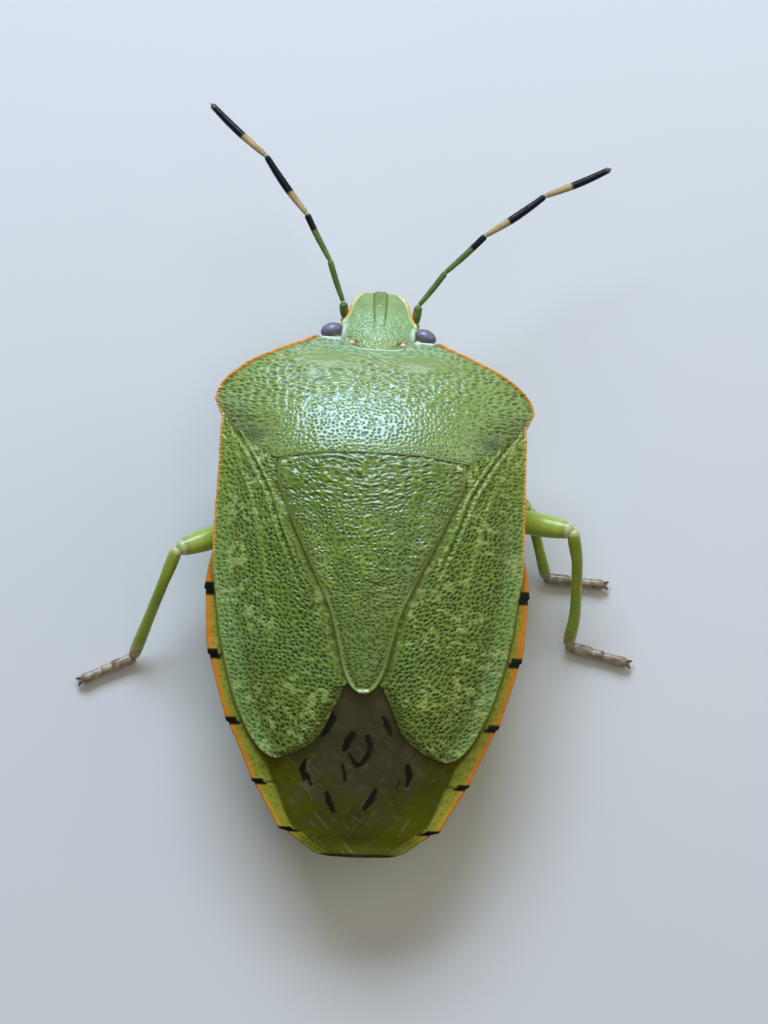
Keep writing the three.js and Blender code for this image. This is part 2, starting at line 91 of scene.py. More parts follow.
head_half = curve([[0, 0.34], [0.015, 0.46], [0.05, 0.56], [0.15, 0.68], [0.3, 0.785], [0.5, 0.86], [0.75, 0.92], [0.95, 1.0], [1.1, 1.08],
                   [1.3, 1.09], [1.5, 1.08], [1.62, 1.0], [1.75, 0.9], [1.92, 0.8], [2.05, 0.76]])
head_top = curve([[0, 2.42], [0.2, 2.6], [0.6, 2.92], [1.1, 3.25], [1.5, 3.5], [1.92, 3.66], [2.05, 3.68]])
head_edge = curve([[0, 2.3], [0.5, 2.5], [1.0, 2.85], [1.4, 3.0], [1.92, 3.2], [2.05, 3.2]])
head_under = curve([[0, 2.12], [0.4, 1.9], [1, 1.75], [2.05, 1.8]])
yaw = curve([[0, 2.7], [1.2, 2.7], [1.75, 2.1], [3.5, 1.1], [5.3, 0.6], [7, 0], [16, 0]])
shift = curve([[1, 0], [2, 0.05], [5, 0.07], [8, 0.1], [16, 0.11]])
SEG = [7.0, 8.76, 10.57, 12.40, 14.04, 15.31, 16.2]        # ends of the abdomen's segments at its side


def back(x, s):
    return back_line(s) - (back_line(s) - edge_line(s)) * np.power(np.abs(x) / crown_w(s), 2.3)


def P3(x, s, z):
    x, s, z = np.broadcast_arrays(np.asarray(x, float), np.asarray(s, float), np.asarray(z, float))
    a = np.radians(yaw(s))
    return np.stack([shift(s) + x * np.cos(a) + SX, s - x * np.sin(a) - HALF + SY, z], -1) * MM


def Q3(p):
    p = np.asarray(p, float)
    return np.stack([p[..., 0] + SX, p[..., 1] - HALF + SY, p[..., 2]], -1) * MM


# ------------------------------------------------------------------ seeded noise
def hsh(i, j, k):
    n = (i.astype(np.int64) * 374761393 + j.astype(np.int64) * 668265263 + int(k) * 1013904223) & 0xffffffff
    n = ((n ^ (n >> 13)) * 1274126177) & 0xffffffff
    n = ((n ^ (n >> 15)) * 2246822519) & 0xffffffff
    return ((n ^ (n >> 16)) & 0xffffff) / float(0xffffff)


def vnoise(u, v, k=0):
    iu, iv = np.floor(u), np.floor(v); fu, fv = u - iu, v - iv
    iu, iv = iu.astype(np.int64), iv.astype(np.int64)
    fu, fv = fu * fu * (3 - 2 * fu), fv * fv * (3 - 2 * fv)
    a, b = hsh(iu, iv, k), hsh(iu + 1, iv, k); c, d = hsh(iu, iv + 1, k), hsh(iu + 1, iv + 1, k)
    return lerp(lerp(a, b, fu), lerp(c, d, fu), fv)


def fbm(u, v, k=0, octaves=3):
    t, amp, tot = 0, 1.0, 0
    for o in range(octaves):
        t = t + amp * vnoise(u * 2 ** o, v * 2 ** o, k + 17 * o); tot += amp; amp *= 0.5
    return t / tot


def cells(u, v, k=0, jit=0.8):
    """nearest and second nearest distance to one point in each unit cell, and that cell's own number"""
    iu, iv = np.floor(u).astype(np.int64), np.floor(v).astype(np.int64)
    f1 = np.full(u.shape, 9.0); f2 = np.full(u.shape, 9.0); rnd = np.zeros(u.shape)
    for a in (-1, 0, 1):
        for b in (-1, 0, 1):
            ci, cj = iu + a, iv + b
            px = ci + 0.5 + jit * (hsh(ci, cj, k) - 0.5); py = cj + 0.5 + jit * (hsh(ci, cj, k + 5) - 0.5)
            d = np.sqrt((u - px) ** 2 + (v - py) ** 2); r = hsh(ci, cj, k + 9)
            near = d < f1
            f2 = np.where(near, f1, np.minimum(f2, d)); rnd = np.where(near, r, rnd); f1 = np.where(near, d, f1)
    return f1, f2, rnd


# ------------------------------------------------------------------ mesh making
def obj_from(name, V, quads, tris, attrs, mat, replaces=(), smooth=True, uv=None, recalc=False):
    me = bpy.data.meshes.new(name)
    V = np.asarray(V, np.float32).reshape(-1, 3)
    quads = np.asarray(quads, np.int32).reshape(-1, 4); tris = np.asarray(tris, np.int32).reshape(-1, 3)
    # leave out faces that closed up to nothing, after joining points that fell together
    me.vertices.add(len(V)); me.vertices.foreach_set("co", V.ravel())
    nl = quads.size + tris.size
    me.loops.add(nl); me.loops.foreach_set("vertex_index", np.concatenate([quads.ravel(), tris.ravel()]).astype(np.int32))
    me.polygons.add(len(quads) + len(tris))
    starts = np.concatenate([np.arange(len(quads)) * 4, quads.size + np.arange(len(tris)) * 3]).astype(np.int32)
    me.polygons.foreach_set("loop_start", starts)
    for k, a in attrs.items():
        at = me.attributes.new(k, "FLOAT", "POINT"); at.data.foreach_set("value", np.asarray(a, np.float32).ravel())
    me.update(calc_edges=True)
    me.validate()
    import bmesh
    bm = bmesh.new(); bm.from_mesh(me)
    bmesh.ops.remove_doubles(bm, verts=bm.verts, dist=2e-7)
    bmesh.ops.dissolve_degenerate(bm, edges=bm.edges, dist=1e-8)
    if recalc:
        bmesh.ops.recalc_face_normals(bm, faces=bm.faces)
    for f in bm.faces:
        f.smooth = smooth
    bm.to_mesh(me); bm.free()
    ob = bpy.data.objects.new(name, me)
    bpy.context.scene.collection.objects.link(ob)
    me.materials.append(mat)
    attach(ob, "root")
    if replaces:
        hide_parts(*replaces)
    return ob


def grid_quads(nv, nu, off=0, wrap=False):
    j, i = np.meshgrid(np.arange(nv - 1), np.arange(nu if wrap else nu - 1), indexing="ij")
    i2 = (i + 1) % nu
    return (np.stack([j * nu + i, j * nu + i2, (j + 1) * nu + i2, (j + 1) * nu + i], -1) + off).reshape(-1, 4)


def normals(P):
    du = np.gradient(P, axis=1); dv = np.gradient(P, axis=0)
    n = np.cross(du, dv); L = np.linalg.norm(n, axis=-1, keepdims=True)
    up = np.zeros_like(n); up[..., 2] = 1
    return np.where(L > 1e-14, n / np.maximum(L, 1e-14), up)


def plate(name, x, s, z, h, attrs, mat, replaces=(), thick=0.12, inward=0.0, centre_drop=0.25, wob=None):
    """a closed plate: a fine upper surface over the places (x, s), with a rim turned down and a plain under side"""
    nv, nu = x.shape
    P = P3(x, s, z); n = normals(P)
    if n[nv // 2, nu // 2, 2] < 0:          # columns run the other way: turn the surface over
        x, s, z, h = x[:, ::-1], s[:, ::-1], z[:, ::-1], h[:, ::-1]
        attrs = {k: a[:, ::-1] for k, a in attrs.items()}
        P = P3(x, s, z); n = normals(P)
    P = P + n * (h * MM)[..., None]
    idx = np.arange(nv * nu).reshape(nv, nu)
    loop = np.concatenate([idx[0, :], idx[1:, -1], idx[-1, -2::-1], idx[-2:0:-1, 0]])
    top = P.reshape(-1, 3)
    c = top[loop].mean(0)
    low = top[loop] + np.array([0, 0, -thick * MM])
    low[:, :2] += (c[:2] - low[:, :2]) * inward
    cen = low.mean(0) - np.array([0, 0, centre_drop * MM])
    V = np.concatenate([top, low, cen[None]])
    n0, m = len(top), len(loop)
    k = np.arange(m); k2 = (k + 1) % m
    side = np.stack([loop[k], n0 + k, n0 + k2, loop[k2]], -1)
    fan = np.stack([n0 + k2, n0 + k, np.full(m, n0 + m)], -1)
    at = {}
    for q, a in attrs.items():
        a = np.broadcast_to(a, (nv, nu)).reshape(-1)
        at[q] = np.concatenate([a, a[loop] * (0.0 if q == "rim" else 1.0), [0.0 if q == "rim" else a.mean()]])
    return obj_from(name, V, np.concatenate([grid_quads(nv, nu), side]), fan, at, mat, replaces)


def tube_arrays(path, radii, sides=24, squash=None, twist=0.0, up=(0, 0, 1), cap=True):
    """rings of a limb along a dense path in mm; squash(a, t) shapes the section"""
    path = np.asarray(path, float); n = len(path)
    d = np.gradient(path, axis=0); d /= np.linalg.norm(d, axis=1, keepdims=True)
    up = np.asarray(up, float)
    u = np.cross(d, up); u /= np.maximum(np.linalg.norm(u, axis=1, keepdims=True), 1e-9)
    w = np.cross(u, d)
    t = np.linspace(0, 1, n)[:, None]; a = (np.arange(sides) / sides * 2 * np.pi)[None, :] + twist
    r = np.asarray(radii, float)[:, None] * (squash(a, t) if squash else 1.0)
    rings = path[:, None, :] + (np.cos(a) * r)[..., None] * u[:, None, :] + (np.sin(a) * r)[..., None] * w[:, None, :]
    return rings, np.broadcast_to(t, rings.shape[:2]), np.broadcast_to(a, rings.shape[:2])


class Lot:
    """several bodies joined into one mesh, each with its own values"""
    def __init__(self, keys):
        self.V, self.Q, self.T, self.n = [], [], [], 0
        self.A = {k: [] for k in keys}

    def rings(self, R, close=True, **attrs):
        nv, nu = R.shape[:2]
        self.V.append(R.reshape(-1, 3)); self.Q.append(grid_quads(nv, nu, self.n, wrap=True))
        for k in self.A:
            self.A[k].append(np.broadcast_to(np.asarray(attrs.get(k, 0.0), float), (nv, nu)).reshape(-1))
        base = self.n; self.n += nv * nu
        if close:
            for row, flip in ((0, True), (nv - 1, False)):
                self.V.append(R[row].mean(0)[None])
                for k in self.A:
                    self.A[k].append(self.A[k][-1][row * nu:row * nu + 1] if len(self.A[k][-1]) > 1 else self.A[k][-2][row * nu:row * nu + 1])
                i = np.arange(nu); i2 = (i + 1) % nu; b = base + row * nu
                t = np.stack([b + i2, b + i, np.full(nu, self.n)], -1) if flip else np.stack([b + i, b + i2, np.full(nu, self.n)], -1)
                self.T.append(t); self.n += 1

    def make(self, name, mat, replaces=(), recalc=True, place=Q3):
        V = place(np.concatenate(self.V))
        Q = np.concatenate(self.Q) if self.Q else np.zeros((0, 4), int)
        T = np.concatenate(self.T) if self.T else np.zeros((0, 3), int)
        return obj_from(name, V, Q, T, {k: np.concatenate(a) for k, a in self.A.items()}, mat, replaces, recalc=recalc)


def ball(c, r, nu=32, nv=20):
    th = np.linspace(0.02, np.pi - 0.02, nv)[:, None]; ph = (np.arange(nu) / nu * 2 * np.pi)[None, :]
    r = np.broadcast_to(np.asarray(r, float), (3,))
    return np.stack([c[0] + r[0] * np.sin(th) * np.cos(ph), c[1] + r[1] * np.sin(th) * np.sin(ph), c[2] + r[2] * np.cos(th) + 0 * ph], -1)


# ------------------------------------------------------------------ materials
class Mat:
    def __init__(self, name, rough=0.4, spec=0.5, coat=0.0, coat_rough=0.2, sss=0.0):
        self.m = bpy.data.materials.new(name); self.m.use_nodes = True
        self.t = self.m.node_tree; self.b = self.t.nodes["Principled BSDF"]
        self.b.inputs["Roughness"].default_value = rough
        self.b.inputs["Specular IOR Level"].default_value = spec
        self.b.inputs["Coat Weight"].default_value = coat
        self.b.inputs["Coat Roughness"].default_value = coat_rough
        if sss:
            self.b.inputs["Subsurface Weight"].default_value = sss
            self.b.inputs["Subsurface Scale"].default_value = 0.0002
        self.pos = self.t.nodes.new("ShaderNodeTexCoord").outputs["Object"]

    def attr(self, name):
        n = self.t.nodes.new("ShaderNodeAttribute"); n.attribute_name = name
        return n.outputs["Fac"]

    def noise(self, scale, detail=2.0, rough=0.5, stretch=None):
        n = self.t.nodes.new("ShaderNodeTexNoise")
        n.inputs["Scale"].default_value = scale; n.inputs["Detail"].default_value = detail; n.inputs["Roughness"].default_value = rough
        v = self.pos
        if stretch:
            mp = self.t.nodes.new("ShaderNodeMapping"); mp.inputs["Scale"].default_value = stretch
            self.t.links.new(v, mp.inputs["Vector"]); v = mp.outputs["Vector"]
        self.t.links.new(v, n.inputs["Vector"])
        return n.outputs["Fac"]

    def vor(self, scale, feature="F1"):
        n = self.t.nodes.new("ShaderNodeTexVoronoi"); n.feature = feature
        n.inputs["Scale"].default_value = scale
        self.t.links.new(self.pos, n.inputs["Vector"])
        return n.outputs["Distance"]

    def math(self, op, a, b=0.5, clamp=False):
        n = self.t.nodes.new("ShaderNodeMath"); n.operation = op; n.use_clamp = clamp
        for k, v in enumerate((a, b)):
            if isinstance(v, (int, float)): n.inputs[k].default_value = v
            else: self.t.links.new(v, n.inputs[k])
        return n.outputs[0]

    def span(self, v, a, b, c=0.0, d=1.0):
        n = self.t.nodes.new("ShaderNodeMapRange"); n.clamp = True
        self.t.links.new(v, n.inputs["Value"])
        for k, q in (("From Min", a), ("From Max", b), ("To Min", c), ("To Max", d)): n.inputs[k].default_value = q
        return n.outputs["Result"]

    def mix(self, f, a, b, kind="MIX"):
        n = self.t.nodes.new("ShaderNodeMix"); n.data_type = "RGBA"; n.blend_type = kind
        for k, v in ((0, f), (6, a), (7, b)):
            if isinstance(v, (int, float)): n.inputs[k].default_value = v
            elif isinstance(v, tuple): n.inputs[k].default_value = (*v, 1.0)
            else: self.t.links.new(v, n.inputs[k])
        return n.outputs[2]

    def colour(self, v): self.t.links.new(v, self.b.inputs["Base Color"])
    def rough(self, v): self.t.links.new(v, self.b.inputs["Roughness"])

    def bump(self, h, dist, strength=1.0):
        n = self.t.nodes.new("ShaderNodeBump"); n.inputs["Distance"].default_value = dist; n.inputs["Strength"].default_value = strength
        self.t.links.new(h, n.inputs["Height"]); self.t.links.new(n.outputs["Normal"], self.b.inputs["Normal"])


# colours are linear
YELLOW = (0.240, 0.310, 0.028)
BLUE_G = (0.200, 0.400, 0.190)
ORANGE = (0.560, 0.175, 0.012)
OLIVE = (0.075, 0.090, 0.006)


def back_material(name, light, mid, deep, rough=0.3, coat=0.25, fine=0.5, spec=0.5, tint=(1.0, 1.0, 1.0), glow=YELLOW):
    m = Mat(name, rough=rough, spec=spec, coat=coat, coat_rough=0.20)
    m.b.inputs["Specular Tint"].default_value = (*tint, 1.0)
    n1 = m.noise(420, 3, 0.55); n2 = m.noise(2600, 2, 0.6); n3 = m.noise(11000, 2, 0.6)
    c = m.mix(m.attr("net"), mid, light)
    c = m.mix(m.math("MULTIPLY", m.span(n1, 0.35, 0.65), 0.30), c, mid)
    c = m.mix(m.math("MULTIPLY", m.span(n2, 0.35, 0.75), 0.22), c, light)
    c = m.mix(m.attr("tone"), c, glow)
    c = m.mix(m.attr("blue"), c, BLUE_G)
    # the dark mask holds painted shade in hollows, under overlapping edges and in creases, besides darker veins,
    # grooves and spots of the cuticle's own
    c = m.mix(m.attr("dark"), c, OLIVE)
    c = m.mix(m.attr("pit"), c, deep)
    c = m.mix(m.attr("pale"), c, (0.58, 0.62, 0.26))
    c = m.mix(m.attr("rim"), c, m.mix(m.span(n2, 0.3, 0.7), (0.66, 0.24, 0.018), (0.74, 0.34, 0.035)))
    c = m.mix(m.attr("red"), c, (0.55, 0.09, 0.012))
    # the white mask holds painted highlights and sheen on the pronotum's collar and the head's sides, besides whitish
    # bands behind the eyes
    c = m.mix(m.attr("white"), c, (0.78, 0.84, 0.72))
    m.colour(c)
    r = m.math("ADD", m.math("MULTIPLY", n2, 0.20), rough - 0.12)
    r = m.math("ADD", r, m.math("MULTIPLY", m.attr("pit"), 0.2)); r = m.math("ADD", r, m.math("MULTIPLY", m.attr("matte"), 0.46))
    m.rough(r)
    m.bump(m.math("ADD", m.math("MULTIPLY", n3, 0.6), n2), 0.00001, fine)
    return m.m


MAT_PRON = back_material("pronotum_cuticle", (0.312, 0.392, 0.090), (0.172, 0.242, 0.036), (0.022, 0.050, 0.014), 0.23, 0.46, 0.16, 0.66, (0.62, 0.80, 1.0))
MAT_SCUT = back_material("scutellum_cuticle", (0.220, 0.290, 0.030), (0.086, 0.136, 0.009), (0.014, 0.034, 0.003), 0.25, 0.50, 0.25, 0.50, (0.88, 0.95, 1.0))
MAT_COR = back_material("corium_cuticle", (0.225, 0.300, 0.045), (0.080, 0.132, 0.010), (0.010, 0.026, 0.002), 0.34, 0.10, 0.5, 0.5, (1.0, 1.0, 0.60))
MAT_HEAD = back_material("head_cuticle", (0.350, 0.430, 0.150), (0.180, 0.262, 0.066), (0.055, 0.115, 0.030), 0.30, 0.14, 0.3)


def wavy(u, v, k, width=0.05):
    """thin bright lines that wander and fork, as the crests of fine wrinkles"""
    a = fbm(u, v, k, 2)
    return np.exp(-((a - 0.5) / width) ** 2)


def rounded(d, r):
    """how far a surface drops near an edge, for a rolled edge of radius r; d is the distance to the edge"""
    q = np.clip(1 - d / r, 0, 1)
    return -r * (1 - np.sqrt(np.clip(1 - q * q, 0, 1)))


# ------------------------------------------------------------------ pronotum
def make_pronotum():
    nu, nv = 505, 184
    u = np.linspace(-1, 1, nu); x1 = 4.47 * (0.75 * u + 0.25 * np.sin(u * np.pi / 2))
    sf, sr = pron_front(np.abs(x1)), pron_rear(np.abs(x1))
    v = np.linspace(0, 1, nv)[:, None]
    x = np.broadcast_to(x1, (nv, nu)); s = lerp(sf[None], sr[None], v); ax = np.abs(x)
    z = back(x, s)
    slope_f = np.gradient(sf, x1); slope_r = np.gradient(sr, x1)
    df = (s - sf[None]) / np.sqrt(1 + slope_f[None] ** 2); dr = (sr[None] - s) / np.sqrt(1 + slope_r[None] ** 2)
    lateral = sstep(1.62, 1.85, ax)                       # the orange side margin
    callus = np.exp(-(((ax - 1.35) / 0.90) ** 2 + ((s - 2.38) / 0.30) ** 2) ** 1.5)
    # pits: round behind, drawn out sideways between wandering wrinkles in front
    rear = sstep(3.2, 4.2, s + 0.5 * (fbm(x / 1.3, s / 0.9, 3) - 0.5)) * (1 - 0.65 * sstep(1.6, 3.2, ax))
    side = sstep(2.2, 3.8, ax)
    wx = 0.16 * (fbm(x / 0.6, s / 0.6, 11) - 0.5); ws = 0.20 * (fbm(x / 0.7, s / 0.45, 12) - 0.5) + 0.10 * np.sin(ax * 1.4) + 0.10 * side * (ax - 2.2)
    a1, a2, ar = cells((x + wx) / 0.225 + 40, (s + ws) / 0.104 + 40, 21, 0.9)
    b1, b2, br = cells((x + wx) / 0.118 + 40, (s + 0.5 * ws) / 0.104 + 40, 22, 0.85)
    f1, rnd = lerp(a1, b1, rear), lerp(ar, br, rear)
    net = sstep(0.05, 0.45, lerp(a2 - a1, b2 - b1, rear))                      # 0 on the crests
    pit = lerp((1 - sstep(0.12, 0.46, a1)) * (0.45 + 0.55 * ar), (1 - sstep(0.12, 0.46, b1)) * (0.45 + 0.55 * br), rear)
    wr = wavy(x / 0.60, (s + 0.06 * np.sin(x * 2.3)) / 0.13, 13, 0.08)
    calm = 1 - 0.9 * callus
    margin = sstep(0.0, 0.10, df) * sstep(0.0, 0.06, dr)
    amp = calm * margin * lerp(0.8, 1.0, sstep(2.0, 3.0, s))
    h = (lerp(0.010, 0.001, rear) * (1 - net) - lerp(0.020, 0.020, rear) * pit + lerp(0.020, 0.004, rear) * wr) * amp
    h = h + 0.030 * (fbm(x / 0.50, s / 0.26, 31) - 0.5) * calm * lerp(1.0, 0.40, rear)
    # shape: calli, the groove behind them, hollows inside the shoulders
    h = h + 0.035 * callus - 0.035 * np.exp(-((s - 2.80) / 0.18) ** 2) * np.exp(-((ax - 1.4) / 1.1) ** 2)
    h = h - 0.10 * np.exp(-((ax - 3.35) / 0.5) ** 2 - ((s - 4.35) / 0.32) ** 2) + 0.05 * np.exp(-((ax - 3.9) / 0.4) ** 2 - ((s - 3.7) / 0.35) ** 2)
    rim_w = 0.108
    rim = (1 - sstep(rim_w * 0.75, rim_w * 1.1, df)) * lateral
    rim_r = (1 - sstep(0.07, 0.11, dr)) * sstep(4.08, 4.25, ax)
    rim = np.maximum(rim, rim_r)
    h = h + 0.035 * np.exp(-((df - 0.045) / 0.04) ** 2) * lateral - 0.03 * np.exp(-((df - 0.125) / 0.03) ** 2) * lateral
    h = h + rounded(np.minimum(df, dr), 0.04) - 0.045 * np.exp(-(dr / 0.16) ** 2) * sstep(2.5, 2.9, ax) * (ax < 4.2)
    tooth = np.exp(-((ax - 1.74) / 0.11) ** 2 - ((df) / 0.10) ** 2)
    h = h + 0.05 * tooth
    # white: a painted highlight along the front edge in the middle, standing for the collar's glossy line, and a
    # whitish band along the front edge behind each eye
    white = np.exp(-((df - 0.022) / 0.026) ** 2) * (1 - sstep(0.60, 0.78, ax)) * 0.9 + 0.75 * np.exp(-((df - 0.03) / 0.05) ** 2) * sstep(0.98, 1.1, ax) * (1 - sstep(1.5, 1.62, ax))
    tone = np.clip(0.42 * (1 - sstep(2.2, 3.7, s)) * sstep(1.95, 2.2, s) + 0.60 * callus * (0.7 + 0.6 * fbm(x / 0.2, s / 0.2, 44)) + 0.25 * np.exp(-((s - 2.7) / 0.5) ** 2) + 0.35 * (fbm(x / 0.9, s / 0.6, 41) - 0.40), 0, 1)
    blue = 0.30 * np.exp(-((s - 1.95) / 0.30) ** 2) * (1 - sstep(1.2, 2.6, ax))
    # dark: painted shade in the hollow inside each shoulder and over the rear side corners, and a thin painted shade
    # line along the rear edge where it lies over the scutellum; the slight darkening over the front middle and the
    # calli is painted shade that tones down the lamp's sheen there
    dark = 0.85 * np.exp(-((ax - 3.28) / 0.45) ** 2 - ((s - 4.60) / 0.24) ** 2) + 0.7 * np.exp(-(dr / 0.014) ** 2) * (ax < 2.9) + 0.3 * sstep(3.0, 3.9, ax) * sstep(3.4, 3.9, s) + 0.12 * (1 - sstep(2.3, 3.6, s)) * (1 - sstep(2.2, 3.4, ax)) + 0.08 * callus
    plate("pronotum_shell", x, s, z, h, dict(pit=pit * amp * (1 - rim) * lerp(0.70, 0.95, rear), rim=rim, tone=tone, blue=np.clip(blue, 0, 1), dark=np.clip(dark, 0, 1),
          pale=np.zeros_like(x), matte=np.clip(callus + 0.9 * (1 - sstep(2.2, 3.3, s)) + 0.5 * sstep(2.6, 3.6, ax), 0, 1), red=np.clip(0.75 * tooth, 0, 1), net=np.clip(0.55 * (1 - net) + 0.5 * wr + 0.25 * fbm(x / 0.3, s / 0.2, 45), 0, 1), white=np.clip(white, 0, 1)),
          MAT_PRON, ("pronotum",), thick=0.16, centre_drop=0.35)


# ------------------------------------------------------------------ scutellum
def make_scutellum():
    nu, nv = 262, 365
    v = np.linspace(0, 1, nv)[:, None]; s1 = 5.0 + (11.7 - 5.0) * (1 - (1 - v) ** 1.12)
    u = np.linspace(-1, 1, nu)[None]; u = 0.85 * u + 0.15 * np.sin(u * np.pi / 2)
    w = scut_half(s1); x = u * w; s = np.broadcast_to(s1, x.shape); ax = np.abs(x)
    z = back(x, s) - 0.035 * (1 - sstep(5.15, 5.9, s)) + 0.03 * sstep(6.0, 8.0, s)
    d = np.minimum((w - ax) * 0.92, (11.7 - s) * 0.9)
    base = 1 - sstep(6.0, 7.4, s + 0.25 * ax)
    tip = sstep(8.6, 10.0, s)
    wx = 0.2 * (fbm(x / 0.6, s / 0.6, 61) - 0.5); ws = 0.30 * (fbm(x / 0.8, s / 0.5, 62) - 0.5) + 0.13 * ax * base
    stretch = lerp(1.15, 2.2, np.clip(base * (0.5 + fbm(x / 0.9, s / 0.7, 63)), 0, 1))
    f1, f2, rnd = cells((x + wx) / 0.112 / stretch + 50, (s + ws) / 0.105 + 50, 65, 0.9)
    net = sstep(0.05, 0.45, f2 - f1); pit = (1 - sstep(0.12, 0.46, f1)) * (0.3 + 0.7 * rnd)
    wr = wavy((x + 0.1 * ws) / 0.50, (s + ws) / 0.15, 68, 0.08) * lerp(0.75, 1.0, base)
    mid3 = sstep(6.2, 7.2, s) * (1 - sstep(9.2, 10.4, s)); wr2 = wavy((x + 0.3 * ws) / 0.42, (s + 1.2 * ws) / 0.20, 72, 0.11) * sstep(0.42, 0.58, fbm(x / 0.6, s / 0.4, 64)) * mid3
    edge = sstep(0.05, 0.14, d)
    h = (0.010 * (1 - net) - 0.020 * pit * lerp(0.8, 1.0, base) + lerp(0.012, 0.026, base) * wr + 0.014 * wr2) * edge * lerp(1.0, 0.7, tip)
    h = h + 0.045 * (fbm(x / 0.55, s / 0.22, 66) - 0.5) * lerp(0.55, 1.1, base) * edge
    h = h - 0.05 * np.exp(-((ax - 0.62 * w) / 0.25) ** 2) * np.exp(-((s - 7.6) / 1.3) ** 2)
    h = h + 0.03 * np.exp(-((d - 0.05) / 0.04) ** 2) * tip - 0.03 * np.exp(-((d - 0.15) / 0.06) ** 2) * tip
    h = h + rounded(d, 0.055)
    spot = np.exp(-((ax - 2.40) / 0.075) ** 4 - ((s - 5.46) / 0.055) ** 4) + 0.7 * np.exp(-((x + 1.22) / 0.09) ** 4 - ((s - 5.36) / 0.028) ** 4)
    h = h + 0.035 * spot
    # light wandering streaks in the middle third
    patch = sstep(0.50, 0.64, fbm(x / 0.55, s / 0.42, 69, 3)) * sstep(6.3, 7.2, s) * (1 - sstep(8.6, 9.8, s)) * (1 - 0.4 * sstep(0.0, 1.8, ax))
    pale = np.clip(spot + 0.25 * np.exp(-((d - 0.03) / 0.05) ** 2) * sstep(10.6, 11.3, s), 0, 1)
    tone = np.clip(0.55 * np.exp(-((s - 11.62) / 0.20) ** 2) + 0.25 * (fbm(x / 0.7, s / 0.5, 67) - 0.42) + 0.5 * np.exp(-((d - 0.02) / 0.05) ** 2) * sstep(9.5, 11.4, s), 0, 1)
    # dark: painted shade on the base strip that lies under the pronotum's edge and along the side edges in the crease
    # beside the wings
    dark = np.clip(0.8 * (1 - sstep(5.2, 5.30, s)) + 0.30 * np.exp(-((ax - w + 0.12) / 0.12) ** 2) * (1 - sstep(8.5, 9.5, s)), 0, 1)
    zero = np.zeros_like(x)
    nt = np.clip((0.34 + 0.22 * base) * (1 - net) + 0.40 * wr * lerp(0.55, 1.0, base) + 0.42 * wr2 + 0.8 * patch * (0.35 + 0.65 * (1 - net)) + 0.12 * fbm(x / 0.3, s / 0.2, 70), 0, 1)
    white = 0.40 * np.exp(-((s - pron_rear(ax) - 0.060) / 0.015) ** 2) * (ax < 2.3)
    plate("scutellum_shell", x, s, z, h, dict(pit=pit * edge * (1 - np.clip(spot, 0, 1)) * lerp(0.85, 0.7, base), rim=zero, tone=tone, blue=zero, dark=dark, pale=pale,
          red=zero, net=nt, white=white), MAT_SCUT, ("scutellum",), thick=0.14, centre_drop=0.35)


# ------------------------------------------------------------------ wings: the leathery part
claval = curve([[4.2, 3.98], [4.4, 3.85], [5.8, 3.02], [6.3, 2.78], [7.1, 2.5], [8.5, 1.95], [10, 1.3], [11, 0.95], [12, 0.8]])
radial = curve([[4.2, 4.05], [4.6, 3.93], [5.3, 3.72], [6.2, 3.32], [7.5, 3.0], [9.0, 2.7], [11, 2.4], [13.4, 2.3]])


